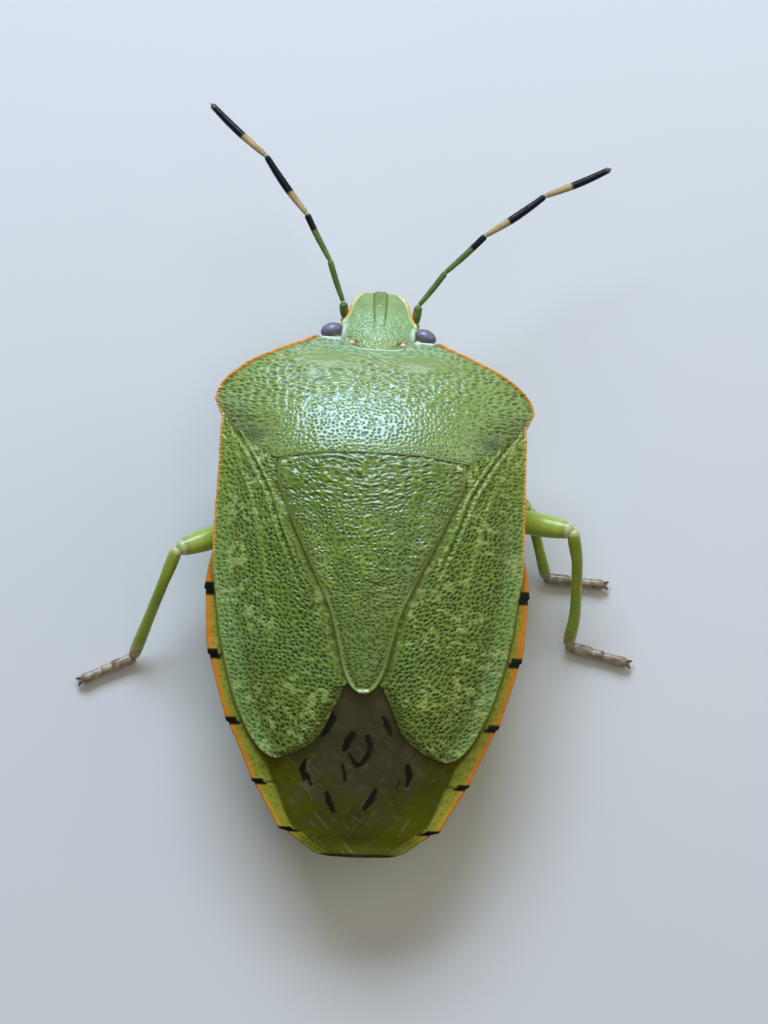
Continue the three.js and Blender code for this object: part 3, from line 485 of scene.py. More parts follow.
def make_corium(side, name, node):
    nu, nv = 190, 490
    s1 = np.linspace(3.98, 13.43, nv)[:, None]
    inner = np.where(s1 < 5.3, pron_hind(s1) - 0.22, np.where(s1 < 11.4, scut_half(s1) - 0.10, cor_in(s1)))
    k = sstep(5.1, 5.5, s1); inner = np.where((s1 > 5.1) & (s1 < 5.5), lerp(pron_hind(np.minimum(s1, 5.3)) - 0.22, scut_half(np.maximum(s1, 5.3)) - 0.10, k), inner)
    k = sstep(11.2, 11.6, s1); inner = np.where((s1 > 11.2) & (s1 < 11.6), lerp(scut_half(s1) - 0.10, cor_in(s1), k), inner)
    outer = cor_out(s1); inner = np.minimum(inner, outer - 0.01)
    u = np.linspace(0, 1, nu)[None]; u = 0.8 * u + 0.2 * (1 - (1 - u) ** 2)
    ax = lerp(inner, outer, u); s = np.broadcast_to(s1, ax.shape); x = side * ax
    under = (1 - sstep(-0.10, 0.22, ax - pron_hind(s))) * (1 - sstep(5.2, 5.6, s))                # slides under the pronotum
    by_scut = (1 - sstep(0.0, 0.20, ax - scut_half(s))) * sstep(5.2, 5.6, s) * (1 - sstep(11.35, 11.7, s))
    z = back(x, s) - 0.075 * under - 0.05 * by_scut
    do = (outer - ax) * 0.95
    dsut = np.where(s > 11.5, (ax - cor_in(s)) * 0.75, 9.0)
    dapex = (13.45 - s) * 0.9
    d_rear = np.minimum(dsut, np.where(s > 12.6, dapex, 9.0))
    seed = 100 if side > 0 else 200
    wx = 0.16 * (fbm(ax / 0.5, s / 0.5, seed) - 0.5); ws = 0.16 * (fbm(ax / 0.5, s / 0.5, seed + 1) - 0.5)
    cu = (ax + wx + 0.10 * (s - 6)) / 0.122; cv = (s + ws + 0.20 * ax) / 0.115
    f1, f2, rnd = cells(cu + 60, cv + 60, seed + 2, 0.9)
    net = sstep(0.04, 0.42, f2 - f1)
    callus = sstep(0.56, 0.68, fbm(ax / 0.15, s / 0.12, seed + 3, 2)) * sstep(0.38, 0.60, fbm(ax / 0.9, s / 0.9, seed + 8))     # small smooth patches without pits
    front = 1 - sstep(5.8, 7.6, s)
    vein_c = np.exp(-((ax - claval(s)) / 0.045) ** 2) * (1 - sstep(7.5, 9.5, s)); vein_r = np.exp(-((ax - radial(s)) / 0.07) ** 2) * (1 - sstep(8.0, 10.5, s))
    ridge1 = np.exp(-((ax - claval(s) - 0.10) / 0.05) ** 2); ridge2 = np.exp(-((ax - claval(s) + 0.12) / 0.05) ** 2)
    rdg = (ridge1 + ridge2) * (1 - sstep(7.0, 9.5, s))
    dcl = ax - scut_half(np.minimum(s, 11.6))
    band = (1 - sstep(0.16, 0.34, dcl)) * sstep(5.6, 6.2, s) * (1 - sstep(11.0, 11.6, s))       # smoother band beside the scutellum
    costal = 1 - sstep(0.42, 0.62, do)
    stripe = 1 - sstep(0.13, 0.22, do)
    wr = wavy(ax / 0.16, (s + 0.6 * ax) / 0.45, seed + 9, 0.08)
    present = (1 - callus) * (1 - 0.85 * vein_r) * (1 - 0.7 * np.clip(rdg, 0, 1)) * sstep(0.03, 0.10, do) * sstep(0.02, 0.16, d_rear) * (1 - 0.55 * band) * (1 - 0.45 * stripe)
    pit = (1 - sstep(0.16, 0.50, f1)) * present * (0.45 + 0.55 * rnd)
    h = -0.024 * pit + 0.012 * (1 - net) * (1 - band) + 0.030 * (fbm(ax / 0.4, s / 0.3, seed + 4) - 0.5) + 0.020 * front * wavy(ax / 0.2, s / 0.11, seed + 10, 0.09) + 0.010 * wr * band
    h = h + 0.03 * vein_r + 0.035 * rdg * (0.75 + 0.5 * fbm(ax / 0.3, s / 0.07, seed + 11)) - 0.035 * vein_c
    h = h - 0.05 * np.exp(-((do - 0.42) / 0.2) ** 2) + 0.035 * np.exp(-((do - 0.06) / 0.07) ** 2)
    h = h + rounded(do, 0.07) + rounded(np.clip(d_rear, 0, 9), 0.03) - 0.05 * (1 - sstep(0.0, 0.25, np.clip(d_rear, 0, 9)))
    rim = (1 - sstep(0.070, 0.105, do)) * (1 - sstep(7.2, 8.6, s))
    tone = np.clip(0.10 * callus + 0.45 * (fbm(ax / 0.9, s / 0.8, seed + 5) - 0.5) + 0.20 * front, 0, 1)
    blue = np.clip(0.25 * (fbm(ax / 1.3, s / 1.6, seed + 6) - 0.5) + 0.14 * costal * sstep(5.5, 8, s), 0, 1)
    # dark: painted shade where the plate slides under the pronotum and in the dip beside the scutellum; also darker in
    # a band along the rear edge, on the claval vein and on the smooth band beside the scutellum
    dark = np.clip(0.65 * by_scut + 0.5 * under + 0.88 * (1 - sstep(0.06, 0.32, d_rear)) + 0.35 * vein_c + 0.15 * band, 0, 1)
    nt = np.clip(0.55 * (1 - net) * (1 - 0.3 * band) + 0.12 * band + 0.70 * callus + 0.35 * np.clip(rdg, 0, 1) + 0.30 * vein_r + 0.22 * costal + 0.12 * fbm(ax / 0.25, s / 0.2, seed + 12), 0, 1)
    zero = np.zeros_like(x)
    plate(name, x, s, z, h, dict(pit=pit * lerp(1.0, 0.55, costal) * lerp(1.0, 0.8, front), rim=rim, tone=tone, blue=blue, dark=dark, pale=0.22 * callus, red=zero, net=nt, white=zero),
          MAT_COR, (node,), thick=0.06, centre_drop=0.15)


# ------------------------------------------------------------------ wings: the thin tips
def membrane_material():
    m = Mat("membrane_film", rough=0.24, spec=0.10, coat=0.0)
    n = m.noise(700, 3, 0.55); f = m.noise(5200, 2, 0.6, stretch=(1.0, 0.25, 1.0))
    c = m.mix(m.span(n, 0.35, 0.7), (0.034, 0.027, 0.014), (0.062, 0.050, 0.028))
    c = m.mix(m.attr("vein"), c, (0.11, 0.10, 0.05))
    c = m.mix(m.attr("edge"), c, (0.050, 0.056, 0.004))
    m.colour(c); m.rough(m.span(f, 0.3, 0.7, 0.18, 0.36))
    m.b.inputs["Alpha"].default_value = 0.055
    m.bump(f, 0.00002, 0.6)
    return m.m


MAT_MEMB = membrane_material()


def make_membrane(side, name, lift):
    nu, nv = 90, 150
    s1 = np.linspace(11.25, 15.80, nv)[:, None]
    inn = curve([[11.25, 0.1], [11.7, -0.25], [12.3, -0.85], [13, -1.25], [14, -1.4], [14.8, -1.15], [15.3, -0.75], [15.6, -0.3], [15.8, 0.25]])(s1)
    out = np.where(s1 < 13.4, np.minimum(wing_out(s1) - 0.05, cor_in(s1) + 0.45), wing_out(np.minimum(s1, 15.78)) - 0.02)
    k = sstep(13.1, 13.7, s1); out = np.where(s1 < 13.1, out, lerp(np.minimum(cor_in(np.minimum(s1, 13.43)) + 0.4, wing_out(s1)), wing_out(np.minimum(s1, 15.78)) - 0.02, k))
    out = np.maximum(out, inn + 0.02)
    u = np.linspace(0, 1, nu)[None]; ax = lerp(inn, out, u); s = np.broadcast_to(s1, ax.shape); x = side * ax
    z = back(x, s) - lift - 0.03
    seed = 300 if side > 0 else 320
    vein = 0
    for k in range(8):
        c = (k + 0.7) / 8.2 + 0.02 * np.sin(s * 2 + k) * sstep(12.5, 15, s)
        vein = np.maximum(vein, np.exp(-((u - c) * (out - inn) / 0.022) ** 2) * sstep(12.0, 12.6, s) * (1 - sstep(15.0, 15.6, s)))
    h = 0.014 * vein + 0.035 * (fbm(ax / 0.5, s / 1.1, seed) - 0.5) + 0.02 * (fbm(ax / 0.16, s / 0.5, seed + 1) - 0.5)
    edge = np.clip((1 - sstep(0.1, 1.2, (out - ax))) * sstep(13.0, 13.8, s) + sstep(14.6, 15.6, s) * 0.7, 0, 1)
    P = P3(x, s, z)
    n = normals(P)
    if n[nv // 2, nu // 2, 2] < 0: n = -n
    P = P + n * (h * MM)[..., None]
    low = P - n * (0.012 * MM)
    V = np.concatenate([P.reshape(-1, 3), low.reshape(-1, 3)]); N = nu * nv
    q = grid_quads(nv, nu); q2 = q[:, ::-1] + N
    idx = np.arange(N).reshape(nv, nu); loop = np.concatenate([idx[0, :], idx[1:, -1], idx[-1, -2::-1], idx[-2:0:-1, 0]])
    l2 = np.roll(loop, -1); sd = np.stack([loop, loop + N, l2 + N, l2], -1)
    rep = lambda a: np.concatenate([np.broadcast_to(a, (nv, nu)).reshape(-1)] * 2)
    return obj_from(name, V, np.concatenate([q, q2, sd]), np.zeros((0, 3), int), dict(vein=rep(vein), edge=rep(edge)), MAT_MEMB, recalc=True)


# ------------------------------------------------------------------ abdomen
def abdomen_material():
    m = Mat("abdomen_cuticle", rough=0.34, spec=0.20, coat=0.0, coat_rough=0.25)
    m.b.inputs["Specular Tint"].default_value = (1.0, 1.0, 0.55, 1.0)
    n1 = m.noise(500, 3, 0.55); n2 = m.noise(3000, 2, 0.6); n3 = m.noise(11000, 2, 0.5)
    under = m.mix(m.span(n1, 0.35, 0.65), (0.30, 0.38, 0.07), (0.40, 0.47, 0.12))
    top = m.mix(m.span(n1, 0.3, 0.7), (0.070, 0.055, 0.018), (0.115, 0.095, 0.040))
    olive = m.mix(m.span(n1, 0.3, 0.7), (0.062, 0.064, 0.001), (0.112, 0.104, 0.002))
    c = m.mix(m.attr("top"), under, m.mix(m.attr("olive"), top, olive))
    conn = m.mix(m.span(n2, 0.3, 0.7), (0.265, 0.285, 0.024), (0.375, 0.385, 0.055))
    conn = m.mix(m.attr("late"), conn, (0.290, 0.205, 0.008))
    c = m.mix(m.attr("conn"), c, conn)
    c = m.mix(m.attr("orange"), c, m.mix(m.span(n2, 0.3, 0.7), ORANGE, (0.60, 0.235, 0.022)))
    c = m.mix(m.attr("groove"), c, (0.10, 0.11, 0.01))
    # the pale mix on streak_glint is a painted highlight: light caught on the crinkled thin tips, seen through them
    c = m.mix(m.attr("pit"), c, (0.14, 0.20, 0.03)); c = m.mix(m.attr("purple"), c, (0.080, 0.030, 0.030)); c = m.mix(m.math("MULTIPLY", m.attr("streak_glint"), 0.55), c, (0.22, 0.20, 0.13))
    # black also holds a painted shade band across the abdomen's end
    c = m.mix(m.attr("black"), c, (0.003, 0.002, 0.003))
    m.colour(c); m.rough(m.math("ADD", m.math("MULTIPLY", n2, 0.2), 0.24))
    m.bump(m.math("ADD", m.math("MULTIPLY", n3, 0.5), n2), 0.000008, 0.5)
    return m.m


MAT_ABD = abdomen_material()


def seg_index(s):
    return np.clip(np.searchsorted(np.array(SEG), np.asarray(s, float), side="right") - 1, 0, len(SEG) - 2)


def abd_edge(s):
    """the side outline with each segment's hind corner standing out a little"""
    i = seg_index(s); S = np.array(SEG); t = np.clip((s - S[i]) / (S[i + 1] - S[i]), 0, 1)
    amp = np.where(i >= 5, 0.0, 0.055) * sstep(7.4, 8.2, s)
    return abd_w(s) + amp * (t ** 4 - 0.25)


STROKES = [    # the black marks under the thin tips: (x, s, half width) along each
    [(1.05, 12.06, 0.100), (0.90, 12.32, 0.200), (0.98, 12.63, 0.120), (1.07, 12.79, 0.050)],
    [(-0.60, 12.27, 0.060), (-0.68, 12.46, 0.100), (-0.78, 12.69, 0.060)],
    [(0.24, 12.74, 0.090), (0.36, 12.89, 0.120), (0.47, 13.14, 0.070)],
    [(-0.15, 12.79, 0.080), (-0.24, 13.00, 0.085), (-0.19, 13.26, 0.070), (-0.03, 13.50, 0.060), (0.11, 13.56, 0.070), (0.24, 13.39, 0.050), (0.34, 13.25, 0.040)],
    [(1.52, 13.43, 0.050), (1.59, 13.68, 0.090), (1.54, 13.95, 0.050)],
    [(1.46, 13.83, 0.060), (1.34, 14.10, 0.035)],
    [(0.51, 13.54, 0.045), (0.45, 13.73, 0.050), (0.42, 13.98, 0.030)],
    [(-1.28, 13.54, 0.080), (-1.34, 13.77, 0.100), (-1.27, 14.04, 0.045)],
    [(0.90, 14.31, 0.070), (0.83, 14.54, 0.090), (0.71, 14.79, 0.060)],
    [(-0.43, 14.19, 0.060), (-0.32, 14.43, 0.105), (-0.13, 14.70, 0.060)],
    [(-1.05, 13.95, 0.030), (-1.00, 14.14, 0.020)],
]


def stroke(x, s, pts):
    """below 1 inside a tapering line through the points"""
    best = np.full(x.shape, 99.0)
    for (ax_, as_, aw), (bx, bs, bw) in zip(pts[:-1], pts[1:]):
        dx, ds = bx - ax_, bs - as_; q = np.clip(((x - ax_) * dx + (s - as_) * ds) / (dx * dx + ds * ds), 0, 1)
        best = np.minimum(best, np.hypot(x - ax_ - q * dx, s - as_ - q * ds) / (aw + (bw - aw) * q))
    return best


def make_abdomen():
    nv, nt, nb = 325, 190, 110
    q = np.linspace(0, 1, nv); s1 = 6.5 + (15.99 - 6.5) * (0.55 * q + 0.45 * (1 - np.clip(1 - q, 0, 1) ** 1.6))
    s1 = s1[:, None]
    W = abd_edge(s1)
    # upper side
    u = np.linspace(-1, 1, nt)[None]; ut = np.sign(u) * (1 - (1 - np.abs(u)) ** 1.5)
    x = ut * W; s = np.broadcast_to(s1, x.shape); ax = np.abs(x); d = W - ax
    iw = np.minimum(wing_out(np.minimum(s1, 15.78)) + 0.02, W - 0.10); cw = lerp(0.60, 0.42, sstep(13.8, 15.2, s1))
    k = sstep(12.9, 13.6, s1); iw = lerp(np.minimum(wing_out(np.minimum(s1, 15.78)) + 0.02, W - 0.10), np.maximum(W - cw, 0), k)
    conn_on = sstep(7.3, 8.0, s1)
    low = back(x, s) - 0.20
    zr = edge_line(s) - 0.13 + 0.10 * np.clip(d / 0.5, 0, 1.6)
    cm = sstep(-0.03, 0.03, ax - iw) * conn_on
    flat_end = sstep(15.35, 15.8, s)
    z = lerp(low, np.minimum(zr, back(x, s) - 0.02), cm)
    z = np.where(cm < 0.5, lerp(z, np.minimum(z, back(x, s) - 0.11), 1), z)
    z = lerp(z, edge_line(s) - 0.13 + 0.14 * (1 - (ax / np.maximum(W, 0.05)) ** 2), flat_end * 0.8)
    z = z - 0.55 * (1 - sstep(6.9, 7.8, s)) * 0.5
    i = seg_index(s); S = np.array(SEG)
    near = np.min(np.stack([np.abs(s - b - 0.05 * (ax < iw) * np.cos(ax)) for b in SEG[1:-1]], 0), 0)
    f1, f2, rnd = cells(x / 0.17 + 70, s / 0.17 + 70, 71, 0.85)
    pit = (1 - sstep(0.1, 0.36, f1)) * cm * 0.8 * (rnd > 0.25) * sstep(0.10, 0.2, d)
    h = -0.03 * np.exp(-(near / 0.035) ** 2) * lerp(0.12, 1.0, cm) - 0.012 * pit + 0.02 * (fbm(x / 0.4, s / 0.3, 72) - 0.5)
    h = h + rounded(d, 0.07) + 0.02 * np.exp(-((d - 0.07) / 0.06) ** 2) * conn_on
    black = np.zeros_like(x)
    for b, half, wid in ((8.76, 0.185, 0.29), (10.57, 0.14, 0.32), (12.40, 0.11, 0.33), (14.04, 0.085, 0.35), (15.31, 0.07, 0.38)):
        slant = s - b + 0.03
        m = (1 - sstep(half - 0.02, half + 0.02, np.abs(slant))) * (1 - sstep(wid - 0.03, wid + 0.03, d))
        black = np.maximum(black, m)
    ragged = 0.35 * (fbm(x / 0.07, s / 0.07, 73) - 0.5)
    for pts in STROKES:
        black = np.maximum(black, 1 - sstep(0.85, 1.1, stroke(x, s, pts) + ragged))
    purple = (1 - sstep(0.10, 0.22, np.hypot(x - 0.05, s - 13.05))) * 0.5
    # streak_glint: pale streaks painted on the back under the thin tips, a painted highlight for light caught on the
    # crinkled tips
    streak_glint = sstep(0.76, 0.86, vnoise((x + s) / 0.035, (x - s) / 0.55, 76)) * sstep(0.35, 0.6, fbm(x / 0.5, s / 0.5, 77)) * (ax < 2.3) * sstep(11.9, 12.3, s)
    streak_glint = np.maximum(streak_glint, sstep(0.80, 0.90, vnoise((x - 0.7 * s) / 0.035, (0.7 * x + s) / 0.5, 78)) * sstep(0.4, 0.6, fbm(x / 0.6, s / 0.6, 79)) * (ax < 2.3) * sstep(12.6, 13.2, s))
    mk = black * sstep(0, 0.03, 0.6 - d); h = h * (1 - mk) + mk * (rounded(d, 0.07) + 0.012)
    orange_w = lerp(0.19, 0.135, sstep(10.0, 12.0, s)) * (0.6 + 0.9 * fbm(s / 0.5, 0 * s + 3.3, 74)) * (1 - 0.35 * sstep(13.5, 15.5, s))
    orange = (1 - sstep(orange_w * 0.55, orange_w + 0.10, d)) * conn_on * (1 - sstep(15.2, 15.6, s))
    # painted shade: a dark band across the abdomen's end, where it slopes down at the rear
    black = np.maximum(black, 0.85 * sstep(15.89, 15.94, s))
    blotch = fbm(x / 0.36, s / 0.36, 75, 4) - 0.5
    olive = np.clip(sstep(0.7, 2.5, ax + 1.9 * blotch) + sstep(13.7, 15.4, s + 2.0 * blotch), 0, 1)
    groove = np.clip(0.6 * np.exp(-(near / 0.03) ** 2) * lerp(0.08, 1.0, cm) + 0.45 * np.exp(-((ax - iw) / 0.04) ** 2) * conn_on * (1 - sstep(15.0, 15.5, s)), 0, 1)
    P = P3(x, s, z); n = normals(P); P = P + n * (h * MM)[..., None]
    A = dict(top=np.ones_like(x), olive=olive, conn=cm * (1 - 0.75 * sstep(15.3, 15.6, s)), orange=orange, groove=groove, pit=pit * (1 - black), black=black, streak_glint=streak_glint * (1 - 0.6 * black), purple=purple, late=0.55 * sstep(13.0, 15.0, s))
    # under side
    v = np.linspace(1, -1, nb)[None]; vt = np.sign(v) * (1 - (1 - np.abs(v)) ** 1.3)
    xb = vt * W; sb = np.broadcast_to(s1, xb.shape); tb = np.abs(vt) + 0 * xb; axb = np.abs(xb); db = W - axb
    zs = edge_line(sb) - 0.22 - 0.5 * (1 - sstep(7.3, 8.2, sb)) * 0.5
    zb = np.minimum(belly_line(sb), zs - 0.02)
    zz = lerp(zb, zs, tb ** 1.75)
    sut = np.min(np.stack([np.abs(sb - b - 0.25 * (1 - tb ** 2)) for b in SEG[:-1]], 0), 0)
    ff1, ff2, fr = cells(xb / 0.26 + 80, sb / 0.26 + 80, 81, 0.9)
    pitb = (1 - sstep(0.08, 0.26, ff1)) * (fr > 0.35) * sstep(0.25, 0.55, tb)
    step = (np.mod(0, 1))
    hb = -0.035 * np.exp(-(sut / 0.035) ** 2) - 0.010 * pitb + 0.03 * np.exp(-((sut - 0.09) / 0.06) ** 2) + 0.02 * (fbm(xb / 0.5, sb / 0.4, 82) - 0.5)
    hb = hb + 0.05 * np.exp(-(axb / 0.30) ** 2) * (1 - sstep(12, 15, sb)) * sstep(6.6, 7.2, sb) + 0.07 * np.exp(-(axb / 0.34) ** 2 - ((sb - 7.4) / 0.35) ** 2)
    blackb = np.zeros_like(xb)
    for b, half in ((8.76, 0.17), (10.57, 0.13), (12.40, 0.10), (14.04, 0.08), (15.31, 0.07)):
        blackb = np.maximum(blackb, (1 - sstep(half - 0.02, half + 0.02, np.abs(sb - b))) * (1 - sstep(0.10, 0.14, db)))
    sp = np.zeros_like(xb)
    for a0, b0 in zip(SEG[:-2], SEG[1:-1]):
        c = lerp(a0, b0, 0.42); e = np.sqrt(((db - 0.72) / 0.085) ** 2 + ((sb - c) / 0.06) ** 2)
        sp = np.maximum(sp, np.exp(-((e - 0.9) / 0.35) ** 2)); blackb = np.maximum(blackb, 0.85 * (1 - sstep(0.3, 0.55, e)))
        hb = hb + 0.02 * np.exp(-((e - 0.9) / 0.35) ** 2) - 0.03 * (e < 0.45)
    orb = (1 - sstep(0.08, 0.14, db)) * (1 - sstep(15.2, 15.6, sb)) * conn_on
    Pb = P3(xb, sb, zz); nb_ = normals(Pb)
    if nb_[nv // 2, nb // 2, 2] > 0: nb_ = -nb_
    Pb = Pb + nb_ * (hb * MM)[..., None]
    Ab = dict(top=np.zeros_like(xb), olive=0 * xb, conn=0.6 * sp, orange=orb, groove=0.45 * np.exp(-(sut / 0.03) ** 2), pit=pitb * 0.5, black=blackb, streak_glint=0 * xb, purple=0 * xb, late=0 * xb)
    R = np.concatenate([P, Pb[:, 1:-1]], 1)
    lot = Lot(A.keys()); AA = {k: np.concatenate([A[k], Ab[k][:, 1:-1]], 1) for k in A}
    lot.rings(R, True, **AA)
    lot.make("abdomen_skin", MAT_ABD, ("abdomen",), place=lambda v: v)


# ------------------------------------------------------------------ thorax, seen from below and the sides
def make_thorax():
    m = Mat("thorax_cuticle", rough=0.38, spec=0.5, coat=0.15, coat_rough=0.25)
    n1 = m.noise(500, 3, 0.55); n2 = m.noise(3200, 2, 0.6)
    c = m.mix(m.span(n1, 0.35, 0.65), (0.28, 0.37, 0.08), (0.38, 0.47, 0.13))
    c = m.mix(m.attr("pit"), c, (0.10, 0.17, 0.02)); c = m.mix(m.attr("groove"), c, (0.09, 0.11, 0.015))
    c = m.mix(m.attr("dull"), c, (0.24, 0.29, 0.10))
    m.colour(c); m.rough(m.math("ADD", m.math("MULTIPLY", n2, 0.2), 0.26)); m.bump(n2, 0.00001, 0.5)
    half = curve([[1.7, 1.55], [2.0, 2.35], [2.5, 3.36], [3, 3.98], [3.45, 4.30], [3.9, 4.24], [4.2, 4.12], [5, 4.14], [6, 4.16], [6.8, 4.15]])
    nv, nb = 240, 210
    s1 = np.linspace(1.72, 6.75, nv)[:, None]; W = half(s1)
    v = np.linspace(1, -1, nb)[None]; vt = np.sign(v) * (1 - (1 - np.abs(v)) ** 1.25)
    x = vt * W; s = np.broadcast_to(s1, x.shape); t = np.abs(vt) + 0 * x; ax = np.abs(x); d = W - ax
    zs = back(W, s1) - 0.16; zs = np.broadcast_to(zs, x.shape)
    z = lerp(np.minimum(belly_line(s), zs - 0.1), zs, t ** 1.8)
    # sutures between the three segments, hip sockets, scent gland folds
    g = np.zeros_like(x)
    for b, bend in ((3.35, 0.9), (4.95, 0.55), (6.35, 0.35)):
        g = np.maximum(g, np.exp(-((s - b - bend * (t - 0.6) ** 2) / 0.035) ** 2))
    g = np.maximum(g, np.exp(-((ax - 0.5) / 0.04) ** 2) * sstep(2.2, 2.6, s) * 0.6)
    f1, f2, rnd = cells(x / 0.19 + 90, s / 0.18 + 90, 91, 0.85)
    pit = (1 - sstep(0.12, 0.38, f1)) * (rnd > 0.12) * sstep(0.7, 1.1, ax)
    dull = np.exp(-((ax - 2.5) / 0.5) ** 2 - ((s - 5.75) / 0.45) ** 2)
    h = -0.05 * g - 0.022 * pit * (1 - dull) + 0.03 * (fbm(x / 0.5, s / 0.4, 92) - 0.5)
    for hx, hs in ((1.0, 4.1), (1.25, 5.7), (1.35, 7.0)):
        e = np.sqrt((ax - hx) ** 2 + (s - hs) ** 2)
        h = h + 0.10 * np.exp(-((e - 0.48) / 0.11) ** 2) - 0.10 * (1 - sstep(0.28, 0.42, e))
    h = h - 0.10 * np.exp(-(ax / 0.18) ** 2)             # channel for the beak
    h = h + 0.06 * np.exp(-((s - 5.62 - 0.1 * (ax - 2)) / 0.06) ** 2) * sstep(1.6, 1.8, ax) * (1 - sstep(2.6, 2.9, ax))
    P = P3(x, s, z); n = normals(P)
    if n[nv // 2, nb // 2, 2] > 0: n = -n
    P = P + n * (h * MM)[..., None]
    # plain inner lid that closes the form under the back plates
    k = 25; xt = np.linspace(-1, 1, k + 2)[None, 1:-1] * W
    top = P3(xt, np.broadcast_to(s1, xt.shape), np.minimum(back(xt, s1) - 0.3, 9))
    R = np.concatenate([P, top], 1); z0 = np.zeros(top.shape[:2])
    lot = Lot(("pit", "groove", "dull"))
    lot.rings(R, True, pit=np.concatenate([pit * 0.7, z0], 1), groove=np.concatenate([g * 0.8, z0], 1), dull=np.concatenate([dull, z0], 1))
    lot.make("thorax_skin", m.m, ("thorax",), place=lambda v: v)


# ------------------------------------------------------------------ head
def make_head():
    nv, nt, nb = 190, 210, 60
    v = np.linspace(0, 1, nv)[:, None]; s1 = 2.05 * (0.35 * v * v + 0.65 * v); s1[0] = 0
    W = head_half(s1); u = np.linspace(-1, 1, nt)[None]; ut = 0.75 * u + 0.25 * np.sin(u * np.pi / 2)
    x = ut * W; s0 = np.broadcast_to(s1, x.shape); ax = np.abs(x); d = W - ax
    # the clypeus and the two side lobes end in three soft rounds
    notch = 0.035 * np.exp(-((ax - 0.20) / 0.035) ** 2) * (1 - sstep(0, 0.12, s0))
    s = s0 + notch
    zt, ze = head_top(s1), head_edge(s1)
    z = zt - (zt - ze) * np.abs(ut) ** 2.4
    gx = 0.185 - 0.035 * sstep(0.3, 1.1, s0)
    groove = np.exp(-((ax - gx) / 0.024) ** 2) * (1 - 0.6 * sstep(0.85, 1.30, s0)) * (1 - sstep(1.25, 1.45, s0))
    tyl = (1 - sstep(gx - 0.06, gx + 0.02, ax)) * (1 - sstep(0.9, 1.25, s0))
    f1, f2, rnd = cells((x + 0.07 * (fbm(x / 0.2, s / 0.2, 401) - 0.5)) / 0.098 + 30, (s + 0.05 * (fbm(x / 0.15, s / 0.2, 411) - 0.5)) / 0.082 + 30, 402, 0.9)
    rough = sstep(0.45, 1.0, s0) * sstep(0.07, 0.13, d) * (1 - 0.5 * tyl)
    pit = (1 - sstep(0.10, 0.45, f1)) * (rnd > 0.3) * lerp(0.35 * sstep(0.1, 0.3, s0), 1.0, rough)
    ridge = (1 - sstep(0.02, 0.42, f2 - f1)) * rough
    wr = wavy(x / 0.20, s0 / 0.085, 412, 0.09) * rough
    lines = 0.5 + 0.5 * np.sin(s0 * 62 + 4 * fbm(x / 0.12, s / 0.3, 403))
    h = -0.034 * groove + 0.02 * tyl - 0.009 * pit + 0.006 * ridge + 0.012 * wr + 0.007 * lines * tyl * (1 - sstep(0.5, 0.8, s0)) + 0.03 * (fbm(x / 0.25, s / 0.2, 404) - 0.5)
    lat = sstep(0.03, 0.09, s0) * (1 - sstep(1.06, 1.16, s0))
    h = h + lat * (0.035 * np.exp(-((d - 0.035) / 0.035) ** 2) - 0.02 * np.exp(-((d - 0.12) / 0.04) ** 2)) + rounded(d, 0.045) + rounded(s0 + 0.004, 0.05)
    oc = np.exp(-((ax - 0.72) / 0.12) ** 2 - ((s0 - 1.77) / 0.11) ** 2)
    h = h + 0.03 * oc
    rim = lat * (1 - sstep(0.050, 0.080, d)) * 0.9
    apex = (1 - sstep(0.03, 0.085, s0)) * sstep(0.20, 0.26, ax) + 0.55 * lat * np.exp(-((d - 0.088) / 0.022) ** 2)
    pale = np.clip(0.80 * apex + 0.25 * rim, 0, 1)
    darkoc = np.exp(-((ax - 0.575) / 0.050) ** 2 - ((s0 - 1.72) / 0.050) ** 2)
    dark = np.clip(0.60 * groove + 0.95 * darkoc + 0.40 * tyl * (1 - sstep(0.35, 0.75, s0)), 0, 1)
    blue = np.clip(0.28 * sstep(0.4, 0.9, s0) * (1 - sstep(1.3, 1.7, s0)) + 0.3 * (fbm(x / 0.25, s / 0.25, 405) - 0.3), 0, 1)
    tone = np.clip(0.25 * sstep(1.5, 1.9, s0) + 0.12 * tyl, 0, 1)
    nt = np.clip(0.30 + 0.35 * ridge + 0.55 * wr + 0.4 * (fbm(x / 0.14, s / 0.14, 413) - 0.3), 0, 1)
    # white: painted sheen, a grey-white zone on each side of the head next to the eye
    white = np.clip(0.75 * sstep(0.84, 0.97, ax + 0.10 * sstep(1.5, 1.7, s0)) * sstep(1.10, 1.2, s0) * (1 - sstep(1.72, 1.85, s0)), 0, 1)
    P = P3(x, s, z); n = normals(P); P = P + n * (h * MM)[..., None]
    vb = np.linspace(1, -1, nb)[None]; xb = vb * W * 0.97; sb = np.broadcast_to(s1, xb.shape)
    zb = lerp(head_under(s1), head_edge(s1) - 0.10, np.abs(vb) ** 2.0)
    buc = 0.10 * np.exp(-((np.abs(xb) - 0.22) / 0.05) ** 2) * sstep(0.2, 0.4, sb) * (1 - sstep(1.3, 1.7, sb))
    Pb = P3(xb, sb, zb - buc)
    R = np.concatenate([P, Pb], 1); z0 = np.zeros(xb.shape)
    cat = lambda a: np.concatenate([np.broadcast_to(a, x.shape), z0], 1); pit = 0.75 * pit
    lot = Lot(("pit", "rim", "tone", "blue", "dark", "pale", "red", "net", "white"))
    lot.rings(R, True, pit=cat(pit * 0.6), rim=cat(rim), tone=np.concatenate([tone, z0 + 0.5], 1), blue=cat(blue), dark=cat(dark), pale=cat(pale), red=cat(0 * x), net=cat(nt), white=cat(white))
    # pale ring behind each eye, and the socket under it
    for sd in (1, -1):
        b = ball((sd * (EX - 0.03), ES + 0.210, EZ - 0.045), (0.33, 0.120, 0.13), 48, 28); a = -sd * math.radians(6)
        lot.rings(P3(b[..., 0], b[..., 1] + 0.06 * np.abs(b[..., 0] - sd * EX), b[..., 2]), True, white=0.85)
